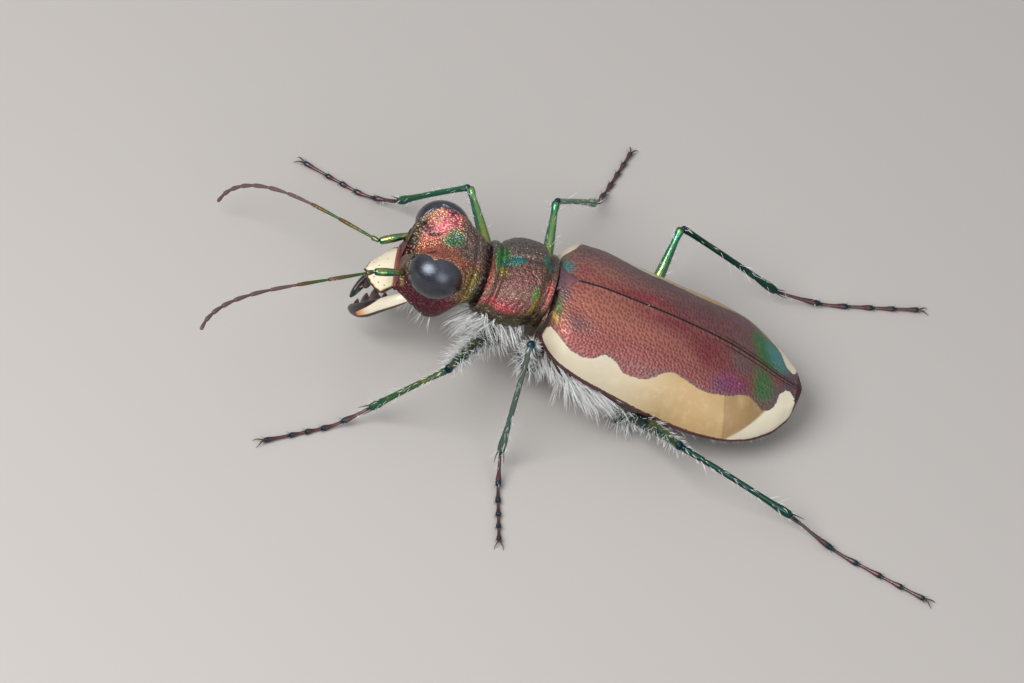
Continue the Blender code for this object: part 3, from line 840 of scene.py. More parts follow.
@dataclass(frozen=True)
class SetaFinish:
    """Clear white hair."""

    white: Triple = (0.88, 0.88, 0.86)
    grey: Triple = (0.6, 0.59, 0.58)

    def dress(self, shader: Shader) -> None:
        """Feed the finish of the white hairs."""
        colour = shader.mix(shader.painted("tone"), self.white, self.grey)
        shader.dress(Base_Color=colour, Roughness=0.38, Specular_IOR_Level=0.6)


@dataclass(frozen=True)
class HornFinish:
    """Dark horn of claws, spurs and spines."""

    brown: Triple = (0.06, 0.026, 0.014)
    black: Triple = (0.014, 0.009, 0.008)

    def dress(self, shader: Shader) -> None:
        """Feed the finish of the claws, spurs and spines.

        Args:
            shader: the material.
        """
        cloud = shader.noise(8.0, 2.0)
        colour = shader.mix(shader.painted("along").rise(0.2, 0.9), self.brown, self.black)
        shader.dress(Base_Color=colour, Roughness=cloud * 0.15 + 0.22, Coat_Weight=0.3, Coat_Roughness=0.15)


class Finish(Enum):
    """Every finish of the beetle, each made into one material."""

    WING_CASE_LEFT = WingCaseFinish(1)
    WING_CASE_RIGHT = WingCaseFinish(-1)
    HEAD = HeadFinish()
    PRONOTUM = PronotumFinish()
    EYE = EyeFinish()
    IVORY = IvoryFinish()
    JAW = JawFinish()
    WHITE_HAIR = SetaFinish()
    HORN = HornFinish()
    # The thighs, shins and feeler bases below carry a painted highlight on top and painted shade below, at
    # the strength that ends their row.
    FEMUR = LimbFinish((0.03, 0.07, 0.055), (0.04, 0.12, 0.06), (0.24, 0.19, 0.06), (0.012, 0.03, 0.04),
                       painted_light_strength=0.3)
    BRIGHT_FEMUR = LimbFinish((0.24, 0.28, 0.08), (0.035, 0.29, 0.19), (0.34, 0.46, 0.1),
                              (0.012, 0.05, 0.04), roughness=0.2, painted_light_strength=0.9)
    TIBIA = LimbFinish((0.16, 0.24, 0.05), (0.055, 0.19, 0.07), (0.36, 0.4, 0.1), (0.012, 0.05, 0.06),
                       roughness=0.22, painted_light_strength=0.5)
    BRIGHT_TIBIA = LimbFinish((0.035, 0.25, 0.13), (0.055, 0.23, 0.08), (0.38, 0.42, 0.12),
                              (0.012, 0.05, 0.06), roughness=0.22, painted_light_strength=0.7)
    DULL_TIBIA = LimbFinish((0.12, 0.15, 0.1), (0.08, 0.14, 0.1), (0.2, 0.17, 0.09),
                            (0.03, 0.07, 0.1), metal=0.6, roughness=0.36, painted_light_strength=0.4)
    HIND_TIBIA = LimbFinish((0.018, 0.07, 0.056), (0.02, 0.075, 0.05), (0.06, 0.17, 0.08),
                            (0.012, 0.03, 0.045), roughness=0.22, painted_light_strength=0.3)
    TARSUS = LimbFinish((0.14, 0.066, 0.066), (0.1, 0.044, 0.05), (0.045, 0.09, 0.11), (0.012, 0.028, 0.042),
                        metal=0.55, roughness=0.28, middle=0.34)
    COXA = LimbFinish((0.03, 0.036, 0.032), (0.04, 0.08, 0.05), (0.18, 0.08, 0.04), (0.014, 0.016, 0.018))
    SCAPE = LimbFinish((0.014, 0.17, 0.12), (0.06, 0.26, 0.12), (0.42, 0.4, 0.11), (0.014, 0.05, 0.07),
                       metal=0.9, roughness=0.18, painted_light_strength=0.6)
    FLAGELLUM = LimbFinish((0.06, 0.16, 0.05), (0.2, 0.13, 0.05), (0.34, 0.2, 0.08),
                           (0.06, 0.022, 0.016), metal=0.75, roughness=0.24)
    DULL_FLAGELLUM = LimbFinish((0.1, 0.062, 0.06), (0.11, 0.068, 0.072), (0.15, 0.066, 0.044),
                                (0.17, 0.06, 0.03), metal=0.1, roughness=0.5, grain=40.0)
    BELLY = LimbFinish((0.03, 0.034, 0.028), (0.04, 0.06, 0.04), (0.15, 0.06, 0.034), (0.012, 0.012, 0.013),
                       grain=13.0, depth=0.014)
    FLANK = LimbFinish((0.2, 0.07, 0.06), (0.05, 0.12, 0.09), (0.32, 0.22, 0.08), (0.02, 0.02, 0.022),
                       grain=13.0, depth=0.014)
    PALP = LimbFinish((0.2, 0.11, 0.05), (0.12, 0.06, 0.03), (0.26, 0.16, 0.07), (0.03, 0.02, 0.015),
                      metal=0.0, roughness=0.35)
    CLYPEUS = LimbFinish((0.26, 0.06, 0.05), (0.36, 0.12, 0.085), (0.36, 0.1, 0.16), (0.03, 0.016, 0.016),
                         metal=0.6, roughness=0.36)
    SCUTELLUM = LimbFinish((0.19, 0.13, 0.17), (0.38, 0.12, 0.12), (0.06, 0.2, 0.19),
                           (0.04, 0.03, 0.034), metal=0.7, grain=12.0, depth=0.02)

    def made(self) -> Material:
        """The finish's material, made when it is first wanted.

        Returns:
            The material.
        """
        name = self.name.lower()
        if name not in bpy.data.materials:
            self.value.dress(Shader(bpy.data.materials.new(name)))
        return bpy.data.materials[name]


# ---- meshes

def quads(index: Array) -> Array:
    """Faces between the neighbours of a grid of point numbers."""
    return np.stack([index[:-1, :-1], index[1:, :-1], index[1:, 1:], index[:-1, 1:]], -1).reshape(-1, 4)


def linked(name: str, data: Any) -> bpy.types.Object:
    """A new object of the scene.

    Args:
        name: its name.
        data: its mesh, lamp or camera.

    Returns:
        The object.
    """
    thing = bpy.data.objects.new(name, data)
    bpy.context.scene.collection.objects.link(thing)
    return thing


class Skin:
    """Points, faces and painted values of one piece, gathered patch by patch."""

    def __init__(self) -> None:
        """Start with nothing."""
        self.patches: list[tuple[Array, dict[str, Any]]] = []
        self.faces: dict[int, list[Array]] = {4: [], 3: []}
        self.count = 0

    def add(self, points: Array, paint: dict[str, Any]) -> int:
        """Add points with their painted values.

        Args:
            points: (n, 3) points in the floor's frame.
            paint: one value or n values for each painted name.

        Returns:
            Number of the first added point.
        """
        self.patches.append((points, paint))
        self.count += len(points)
        return self.count - len(points)

    def painted(self, name: str, width: int) -> Array:
        """What is painted under a name at every point, 0 where nothing is.

        Args:
            name: the name.
            width: how many numbers it has at a point.

        Returns:
            (points, width) array.
        """
        parts = []
        for points, paint in self.patches:
            values = np.reshape(paint.get(name, np.zeros(width)), (-1, width))
            parts.append(np.broadcast_to(values, (len(points), width)))
        return np.concatenate(parts).astype(np.float32)

    def hull(self, grid: Array, paint: dict[str, Any]) -> "Skin":
        """Add a closed hull of rings, with a fan of triangles at both ends.

        Args:
            grid: (rings, spots, 3) points in the floor's frame.
            paint: values for each painted name, as many as the grid has or ones that spread over it.

        Returns:
            This skin.
        """
        rings, spots = grid.shape[:2]
        full = {}
        for name, value in paint.items():
            full[name] = np.broadcast_to(value, (rings, spots, *np.shape(value)[2:]))
        listed = {name: value.reshape(rings * spots, -1) for name, value in full.items()}
        start = self.add(grid.reshape(-1, 3), listed)
        index = start + np.arange(rings * spots).reshape(rings, spots)
        index = np.concatenate([index, index[:, :1]], axis=1)
        self.faces[4].append(quads(index))
        for end in (0, -1):
            average = {name: value[end].mean(axis=0) for name, value in full.items()}
            middle = self.add(grid[end].mean(axis=0)[None], average)
            fan = np.stack([index[end, :-1], index[end, 1:], np.full(spots, middle)], -1)
            self.faces[3].append(fan[:, ::-1] if end else fan)
        return self

    def shell(self, outer: Array, inner: Array, paint: dict[str, Any]) -> "Skin":
        """Add a closed plate between two grids of the same size.

        Args:
            outer: (rows, columns, 3) points of its upper side.
            inner: the points below them.
            paint: (rows, columns) values for each painted name.

        Returns:
            This skin.
        """
        rows, columns = outer.shape[:2]
        both = {name: np.tile(value.ravel(), 2) for name, value in paint.items()}
        start = self.add(np.concatenate([outer, inner]).reshape(-1, 3), both)
        top = start + np.arange(rows * columns).reshape(rows, columns)
        under = top + rows * columns
        rim = np.concatenate([top[0, :-1], top[:-1, -1], top[-1, :0:-1], top[:0:-1, 0]])
        onward = np.roll(rim, -1)
        wall = np.stack([rim, onward, onward + rows * columns, rim + rows * columns], -1)
        self.faces[4] += [quads(top), quads(under)[:, ::-1], wall]
        return self

    def build(self, name: str, finish: Finish, slot: str, nodes: Sequence[str] = ()) -> None:
        """Make the piece and hang it on the model.

        Args:
            name: the piece's name.
            finish: its finish.
            slot: name of a material slot; not used.
            nodes: the solids that it stands for.
        """
        faces = [face for size in (4, 3) for part in self.faces[size] for face in part.tolist()]
        mesh = bpy.data.meshes.new(name)
        mesh.from_pydata(np.concatenate([points for points, _ in self.patches]) * MM, [], faces)
        names = {key for _, paint in self.patches for key in paint}
        for key in sorted(names - {"OFBake"}):
            if key == "place":
                layer = mesh.attributes.new(key, "FLOAT_VECTOR", "POINT")
                layer.data.foreach_set("vector", self.painted(key, 3).ravel())
            else:
                layer = mesh.attributes.new(key, "FLOAT", "POINT")
                layer.data.foreach_set("value", self.painted(key, 1).ravel())
        if "OFBake" in names:
            flat = self.painted("OFBake", 2)[[spot for face in faces for spot in face]]
            mesh.uv_layers.new(name="OFBake").data.foreach_set("uv", flat.ravel())
        bm = bmesh.new()
        bm.from_mesh(mesh)
        bmesh.ops.recalc_face_normals(bm, faces=bm.faces)
        bm.to_mesh(mesh)
        bm.free()
        mesh.shade_smooth()
        mesh.materials.append(finish.made())
        piece = linked(name, mesh)
        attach(piece, BODY)
        if nodes:
            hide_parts(*nodes)
        LOG.info("%s: %d faces", name, len(mesh.polygons))


def smoothed(points: Any, steps: int) -> Array:
    """A smooth path through points.

    Args:
        points: (n, 3) points that the path passes.
        steps: number of points on the path.

    Returns:
        (steps, 3) points, evenly spread over the given ones.
    """
    points = np.asarray(points, float)
    reach = reaches(points)
    spots = np.linspace(0.0, reach[-1], steps)
    return np.stack([through(reach, column).at(spots) for column in points.T], -1)


def limb_shares(steps: int) -> Array:
    """Shares of a length, closer together towards both ends."""
    even = np.linspace(0.0, 1.0, steps)
    return 0.5 - 0.5 * np.cos(math.pi * even) * 0.55 + (even - 0.5) * 0.45


def eased(points: Any, steps: int, rings: int) -> Array:
    """A smooth path, worked out in so many steps and kept in so many points, closer towards both ends."""
    path, even = smoothed(points, steps), np.linspace(0, 1, steps)
    return np.stack([np.interp(limb_shares(rings), even, column) for column in path.T], -1)


def capped(shares: Array, blunt: float) -> Array:
    """Factor that rounds off both ends of a tube, over so much of its length."""
    ends = np.minimum(shares, 1 - shares) / blunt
    return np.sqrt(clamp(1 - (1 - clamp(ends)) ** 2))


def tube(path: Array, half_width: Any, half_height: Any, spots: int, up: Any = (0.0, 0.0, 1.0)) -> Array:
    """Rings around a path, square to it and carried along it without twist.

    Args:
        path: (n, 3) points.
        half_width: radius across the up direction, one or n values.
        half_height: radius along the up direction, one or n values.
        spots: points in each ring.
        up: rough upward direction.

    Returns:
        (n, spots, 3) points; each ring starts sideways and turns upwards.
    """
    tangents = unit(np.gradient(path, axis=0))
    lift = [np.asarray(up, float)]
    for tangent in tangents:
        lift.append(unit(lift[-1] - tangent * np.dot(lift[-1], tangent)))
    lift = np.array(lift[1:])
    turn = circle(spots)
    wide = np.broadcast_to(half_width, len(path))[:, None] * np.cos(turn)
    tall = np.broadcast_to(half_height, len(path))[:, None] * np.sin(turn)
    across = np.cross(tangents, lift)[:, None] * wide[..., None]
    return path[:, None] + across + lift[:, None] * tall[..., None]


def outward(grid: Array, centre: Array, around: bool = True) -> Array:
    """Unit normals of a grid, away from a point in each ring.

    Args:
        grid: (rings, spots, 3) points.
        centre: (rings, 3) points inside.
        around: whether the rings are closed.

    Returns:
        (rings, spots, 3) unit vectors.
    """
    across = np.roll(grid, -1, axis=1) - np.roll(grid, 1, axis=1) if around else np.gradient(grid, axis=1)
    normal = unit(np.cross(np.gradient(grid, axis=0), across))
    return normal if np.sum(normal * (grid - centre[:, None])) > 0 else -normal


def embossed(grid: Array, centre: Array, heights: Array) -> Array:
    """A grid of closed rings, raised by a height at each point; centre has a point inside each ring."""
    return grid + outward(grid, centre) * heights[..., None]


@dataclass
class Ground:
    """Skin that hairs grow on: its grid in the floor's frame and its place on their coat's unwrap."""

    grid: Array
    corner: Pair = (0.0, 0.0)
    size: Pair = (1.0, 1.0)

    def __post_init__(self) -> None:
        """Work out which way is out."""
        self.normals = outward(self.grid, self.grid.mean(axis=1))

    def picked(self, values: Array, rows: Array, columns: Array) -> Array:
        """Values between grid points.

        Args:
            values: the grid or the normals.
            rows: shares of the rows.
            columns: shares of the columns; they wrap around.

        Returns:
            One vector for each pair of shares.
        """
        amount, spots = values.shape[:2]
        row, column = rows * (amount - 1.001), (columns % 1.0) * spots
        i, j = np.floor(row).astype(int), np.floor(column).astype(int) % spots
        u, v, onward = (row - i)[:, None], (column - np.floor(column))[:, None], (j + 1) % spots
        near = values[i, j] * (1 - v) + values[i, onward] * v
        far = values[i + 1, j] * (1 - v) + values[i + 1, onward] * v
        return near * (1 - u) + far * u


def trunk_piece(name: str, grid: Array, finish: Finish, slot: str, node: str, **spot: Pair) -> Ground:
    """Make a closed piece of the trunk.

    Args:
        name: its name.
        grid: its rings, in the trunk's frame.
        finish: its finish.
        slot: its material slot.
        node: the solid that it stands for.
        spot: corner and size of its place on a coat's unwrap.

    Returns:
        Its skin, for hairs.
    """
    placed = STANCE.placed(grid)
    Skin().hull(placed, {"along": 0.5, "place": grid}).build(name, finish, slot, [node])
    return Ground(placed, **spot)


# ---- hairs

@dataclass
class Coat:
    """White hairs of one piece, joined into one mesh."""

    name: str
    seed: int
    thickness: float
    patch: float = 0.003
    droop: float = 0.15
    least_rise: float = 0.25
    least_height: float = 0.004
    levels: tuple[Pair, ...] = ((-0.03, 1.0), (0.3, 0.92), (0.62, 0.68), (0.86, 0.38))

    def __post_init__(self) -> None:
        """Start the coat's mesh and its own random numbers."""
        self.skin = Skin()
        self.random = np.random.default_rng(self.seed)

    def spread(self, ground: Ground, amount: int, rows: Pair, lengths: Pair, lean: Any, lift: float = 1.0,
               columns: Pair = (0.0, 1.0), scatter: float = 0.25, thickness: float | None = None,
               tuft: int = 1) -> None:
        """Scatter hairs over part of a skin.

        Args:
            ground: the skin.
            amount: number of hairs.
            rows: first and last share of its length.
            lengths: shortest and longest hair.
            lean: direction that they lean in, in the floor's frame.
            lift: how much of the skin's normal is in their direction.
            columns: first and last share of its girth.
            scatter: how much they differ.
            thickness: radius at the root, or the coat's own.
            tuft: hairs that stand together.
        """
        draw = self.random
        tufts = max(amount // tuft, 1)
        member = draw.integers(0, tufts, amount)
        share = draw.uniform(0.0, 1.0, (tufts, 2))[member]
        share = share + draw.normal(0.0, 0.012, (amount, 2)) * (tuft > 1)
        row, column = (clamp(share) * np.diff((rows, columns)).T + (rows[0], columns[0])).T
        roots = ground.picked(ground.grid, row, column)
        normals = unit(ground.picked(ground.normals, row, column))
        stray = draw.normal(0.0, scatter, (tufts, 3))[member] + draw.normal(0.0, scatter * 0.55, (amount, 3))
        ways = unit(normals * lift + np.asarray(lean, float) + stray)
        facing = np.sum(ways * normals, axis=1, keepdims=True)
        ways = unit(ways + normals * np.maximum(self.least_rise - facing, 0.0))
        flat = np.array(ground.corner) + np.array(ground.size) * np.stack([row, column % 1.0], -1)
        self.grow(roots, ways, draw.uniform(*lengths, amount), flat, thickness or self.thickness)

    def grow(self, roots: Array, ways: Array, lengths: Array, flat: Array, thickness: float) -> None:
        """Add hairs, each a curved three-sided spike with rings at the coat's levels.

        A level is a share of the hair's length and its radius there, as a share of that at the root.

        Args:
            roots: (n, 3) roots in the floor's frame.
            ways: (n, 3) unit directions.
            lengths: n lengths.
            flat: (n, 2) places of the roots on the unwrap of the skin, within 0 to 1.
            thickness: radius at the root.
        """
        amount = len(roots)
        bend = np.array((0.0, 0.0, -self.droop)) + self.random.normal(0.0, 0.05, (amount, 3))
        helper = np.where(np.abs(ways[:, 2:]) > 0.9, (1.0, 0.0, 0.0), (0.0, 0.0, 1.0))
        across = unit(np.cross(ways, helper))
        other = np.cross(ways, across)
        radius = thickness * self.random.uniform(0.8, 1.15, amount)
        rows, spots = [], []
        for level, (share, factor) in enumerate(self.levels):
            middle = roots + (ways * share + bend * share ** 2) * lengths[:, None]
            for corner in range(3):
                turn = corner * math.tau / 3
                out = across * math.cos(turn) + other * math.sin(turn)
                rows.append(middle + out * (radius * factor)[:, None])
                spots.append(flat + self.patch * np.array((corner / 3, level / (len(self.levels) + 1))))
        rows.append(roots + (ways + bend) * lengths[:, None])
        spots.append(flat + self.patch * np.array((0.5, 0.9)))
        points = np.stack(rows, 1).reshape(-1, 3)
        points[:, 2] = np.maximum(points[:, 2], self.least_height)
        tone = np.repeat(self.random.uniform(0.0, 1.0, amount), len(rows))
        start = self.skin.add(points, {"tone": tone, "OFBake": np.stack(spots, 1).reshape(-1, 2)})
        first = start + np.arange(amount)[:, None] * len(rows)
        for a in range(3 * (len(self.levels) - 1)):
            b = a + 1 if a % 3 < 2 else a - 2
            self.skin.faces[4].append(first + np.array((a, b, b + 3, a + 3)))
        tip = len(rows) - 1
        for a, b in ((tip - 3, tip - 2), (tip - 2, tip - 1), (tip - 1, tip - 3)):
            self.skin.faces[3].append(first + np.array((a, b, tip)))
        self.skin.faces[3].append(first + np.array((2, 1, 0)))

    def build(self) -> None:
        """Make the coat's piece."""
        self.skin.build(self.name, Finish.WHITE_HAIR, "white_setae")


# ---- wing cases

@dataclass(frozen=True)
class WingCases:
    """The two arched wing cases that meet along the back."""

    gap: float = 0.006
    thickness: float = 0.09
    arch: float = 0.87
    rings: int = 230
    spots: int = 104
    seam_bead: tuple[Numbers, ...] = ((0.014, 0.02, 0.022), (-0.01, 0.08, 0.04))
    rim_bead: tuple[Numbers, ...] = ((0.024, 0.985, 0.016),)
    swells: tuple[Numbers, ...] = (
        (0.045, 0.062, 0.05, 0.54, 0.22),
        (-0.05, 0.08, 0.045, 0.24, 0.15),
        (-0.035, 0.845, 0.05, 0.52, 0.25))
    tooth: float = 0.13
    band_steps: int = 260
    margin: Profile = Profile((
        (0, 1.34), (0.03, 1.81), (0.07, 2.16), (0.13, 2.31), (0.3, 2.36), (0.5, 2.38), (0.68, 2.37),
        (0.8, 2.18), (0.89, 1.79), (0.95, 1.3), (0.985, 0.74), (1, 0.16)))
    crown: Profile = Profile((
        (0, 1.215), (0.07, 1.366), (0.13, 1.446), (0.3, 1.483), (0.5, 1.444), (0.68, 1.287), (0.8, 1.064),
        (0.89, 0.839), (0.95, 0.715), (1, 0.64)))
    edge: Profile = Profile((
        (0, 0.05), (0.07, 0.12), (0.13, 0.05), (0.3, -0.19), (0.5, -0.36), (0.68, -0.31), (0.8, -0.18),
        (0.89, -0.06), (0.95, 0.1), (0.985, 0.31), (1, 0.52)))
    band: tuple[Pair, ...] = (
        (0, 0.84), (0.015, 0.705), (0.035, 0.662), (0.06, 0.68), (0.098, 0.72), (0.138, 0.725),
        (0.175, 0.688), (0.235, 0.595), (0.265, 0.615), (0.302, 0.67), (0.345, 0.682), (0.385, 0.652),
        (0.425, 0.585), (0.453, 0.51), (0.478, 0.482), (0.51, 0.478), (0.552, 0.497), (0.598, 0.517),
        (0.645, 0.503), (0.695, 0.47), (0.758, 0.39), (0.79, 0.375), (0.825, 0.41), (0.853, 0.463),
        (0.885, 0.458), (0.9, 0.378), (0.907, 0.273), (0.92, 0.185), (0.94, 0.13), (0.958, 0.155),
        (0.972, 0.26), (0.984, 0.5), (1, 0.9))
    far_band: tuple[Pair, ...] = (
        (0, 0.46), (0.03, 0.42), (0.06, 0.46), (0.085, 0.6), (0.14, 0.66), (0.22, 0.54), (0.3, 0.44),
        (0.345, 0.405), (0.425, 0.395), (0.478, 0.39), (0.552, 0.395), (0.645, 0.4), (0.695, 0.44),
        (0.758, 0.5), (0.8, 0.5), (0.825, 0.47), (0.853, 0.463), (0.885, 0.458), (0.905, 0.378),
        (0.915, 0.273), (0.926, 0.205), (0.945, 0.175), (0.96, 0.2), (0.975, 0.32), (0.985, 0.6), (1, 0.9))

    def surface(self, t: Array, s: Array) -> Array:
        """Points of the left case, before its relief.

        Args:
            t: shares of the length.
            s: shares from the suture to the margin.

        Returns:
            Points in the trunk's frame.
        """
        lean = s * math.pi / 2
        wide, top, low = self.margin.at(t), self.crown.at(t), self.edge.at(t)
        x = self.gap + (wide - self.gap) * np.sin(lean) ** self.arch
        z = low + (top - low) * clamp(np.cos(lean)) ** self.arch
        return np.stack([x, t * CASE_LENGTH, z], -1)

    def relief(self, t: Array, s: Array) -> Array:
        """Height of beads, dips, bulges and the saw-toothed rim over the plain arch.

        Args:
            t: shares of the length.
            s: shares from the suture to the margin.

        Returns:
            Heights in millimetres.
        """
        height = humps(self.seam_bead, s * CASE_GIRTH) + humps(self.rim_bead, s) + humps(self.swells, t, s)
        height = height + 0.012 * np.sin(t * 21 + s * 7) * np.sin(s * 9 + 1) * np.sin(math.pi * s)
        saw = np.abs((t * CASE_LENGTH / self.tooth) % 1.0 - 0.5) - 0.25
        height = height + (0.016 + 0.016 * (t > 0.8)) * saw * hump(s, 1.0, 0.02)
        return height - 0.12 * (1 - clamp(t / 0.014)) ** 2

    def from_band(self, t: Array, s: Array, edge: tuple[Pair, ...]) -> Array:
        """Distance into the pale band, negative outside it.

        Args:
            t: shares of the length.
            s: shares from the suture to the margin.
            edge: the band's edge, as stations of t and s.

        Returns:
            Distances in millimetres.
        """
        places = np.linspace(0.0, 1.0, self.band_steps)
        line = np.stack([places * CASE_LENGTH, Profile(edge).at(places) * CASE_GIRTH], -1)
        spots = np.stack([t * CASE_LENGTH, s * CASE_GIRTH], -1).reshape(-1, 2)
        nearest = np.full(len(spots), np.inf)
        for first, last in zip(line[:-1], line[1:]):
            step = last - first
            share = clamp((spots - first) @ step / (step @ step))[:, None]
            nearest = np.minimum(nearest, np.linalg.norm(spots - first - share * step, axis=1))
        return np.where(s > Profile(edge).at(t), 1.0, -1.0) * nearest.reshape(s.shape)

    def build(self) -> None:
        """Make and dress both cases."""
        t, s = lattice(limb_shares(self.rings), np.linspace(0.0, 1.0, self.spots))
        plain = self.surface(t, s)
        centre = np.stack([plain[:, 0, 0], plain[:, 0, 1], self.edge.at(t[:, 0])], -1)
        normals = outward(plain, centre, around=False)
        outer = plain + normals * self.relief(t, s)[..., None]
        inner = outer - normals * (self.thickness * np.clip(self.margin.at(t) / 0.9, 0.1, 1.0))[..., None]
        narrowing = np.clip(self.margin.at(t) / 2.3, 0.1, 1.0)
        rim = np.minimum((1 - s) * CASE_GIRTH * narrowing, (1 - t) * CASE_LENGTH)
        for (word, side), edge in zip(SIDES.items(), (self.band, self.far_band)):
            paint = {"along": t, "across": s, "band": self.from_band(t, s, edge), "rim": rim}
            faces = (STANCE.placed(mirrored(face, side)) for face in (outer, inner))
            finish = Finish[f"WING_CASE_{word.upper()}"]
            skin = Skin().shell(*faces, paint)
            skin.build(f"wing_case_{word}", finish, "maroon_wing_case", [f"elytron_{word}"])


@dataclass(frozen=True)
class Scutellum:
    """Small three-cornered plate between the shield and the wing cases."""

    half_width: float = 0.43
    length: float = 0.6
    front: float = -0.02
    floor: float = 0.92

    def build(self) -> None:
        """Make and dress the plate."""
        t, u = lattice(np.linspace(0.0, 1.0, 26), np.linspace(-1.0, 1.0, 41))
        wide = self.half_width * (1 - t ** 1.25) + 0.012
        y = self.front + t * self.length
        dome = WingCases().crown.at(y / CASE_LENGTH) + 0.055 - 0.05 * u ** 2 - 0.05 * t ** 6
        dome = dome - 0.03 * hump(t, 0.42, 0.16)
        top = np.stack([u * wide, y, dome], -1)
        bottom = np.stack([u * wide * 1.02, y, np.full_like(t, self.floor)], -1)
        skin = Skin().shell(STANCE.placed(top), STANCE.placed(bottom), {"along": 0.5 + 0 * t})
        skin.build("scutellum_plate", Finish.SCUTELLUM, "copper_cuticle", ["scutellum"])


# ---- trunk

@dataclass(frozen=True)
class Pronotum:
    """The shield behind the head with the sides and underside of its segment."""

    front: float = -1.95
    rear: float = -0.12
    rings: int = 150
    spots: int = 240
    width: Profile = Profile(((0, 1.14), (0.06, 1.17), (0.13, 1.2), (0.3, 1.36), (0.55, 1.38), (0.78, 1.26),
                              (0.89, 1.07), (1, 1.1)))
    roundness: float = 0.92
    grooves: tuple[Numbers, ...] = ((-0.075, 0.145, 0.035), (-0.095, 0.865, 0.035))
    collars: tuple[Numbers, ...] = ((0.035, 0.05, 0.05), (0.045, 0.95, 0.035))
    midline: tuple[Numbers, ...] = ((-0.045, 0.0, 0.045, 0.5, 0.3), (-0.03, 0.0, 0.3, 0.2, 0.09))
    side_line: tuple[Numbers, ...] = ((0.018, 0.0, 0.04), (-0.012, 0.09, 0.04))
    rolls: tuple[Pair, ...] = ((0.62, -0.16), (0.8, -0.1), (0.9, -0.03), (0.955, 0.012), (0.985, 0.016))
    middle: Profile = Profile(((0, 0.1), (0.5, 0.36), (1, 0.5)))
    up: Profile = Profile(((0, 0.82), (0.07, 0.87), (0.13, 0.87), (0.32, 1.06), (0.6, 1.13), (0.8, 1.07),
                           (0.89, 0.9), (1, 0.92)))
    down: Profile = Profile(((0, 0.78), (0.3, 1.02), (0.7, 1.1), (1, 1.0)))

    def surface(self, t: Array, turn: Array) -> Array:
        """Points before the relief.

        Args:
            t: shares of the length.
            turn: angles around, 0 on the left side and a right angle on the back.

        Returns:
            Points in the trunk's frame.
        """
        reach = np.where(np.sin(turn) > 0, self.up.at(t), self.down.at(t))
        x = self.width.at(t) * power(np.cos(turn), self.roundness)
        z = self.middle.at(t) + reach * power(np.sin(turn), self.roundness)
        return np.stack([x, self.front + t * (self.rear - self.front), z], -1)

    def relief(self, t: Array, turn: Array) -> Array:
        """Height of grooves, collars, bulges and the line along each side.

        Args:
            t: shares of the length.
            turn: angles around.

        Returns:
            Heights in millimetres.
        """
        top = clamp(np.sin(turn) * 2.5 + 0.4)
        off = np.abs(turn - math.pi / 2)
        side = np.minimum(np.abs(turn + 0.1), np.abs(turn - math.pi - 0.1))
        height = humps(self.grooves, t) * top + humps(self.collars, t) + humps(self.midline, off, t)
        height = height + humps(self.side_line, side) - 0.04 * hump(side, 0.55, 0.05) * (turn < 0)
        ripple = np.sin(t * 62 + 5 * np.sin(turn * 5) + 2 * np.sin(turn * 11)) * top
        return height + 0.007 * ripple * hump(t, 0.5, 0.35)

    def lip(self, row: Array, middle: Array, ahead: float) -> Array:
        """Rings, innermost first, that roll the ring at an open end inwards; ahead is 1 towards the tail."""
        scales, steps = np.array(self.rolls).T[..., None, None]
        return middle + (row - middle) * scales + ahead * steps * np.array((0.0, 1.0, 0.0))

    def build(self) -> Ground:
        """Make and dress the segment, rolled in at both ends.

        Returns:
            Its skin, for hairs.
        """
        t, turn = lattice(np.linspace(0.0, 1.0, self.rings), circle(self.spots, BELLY))
        plain = self.surface(t, turn)
        centre = np.stack([0 * t[:, 0], plain[:, 0, 1], self.middle.at(t[:, 0])], -1)
        skin = embossed(plain, centre, self.relief(t, turn))
        front = self.lip(skin[0], centre[0], -1.0)
        rear = self.lip(skin[-1], centre[-1], 1.0)
        grid = np.concatenate([front, skin, rear[::-1]])
        return trunk_piece("pronotum", grid, Finish.PRONOTUM, "copper_cuticle", "prothorax")


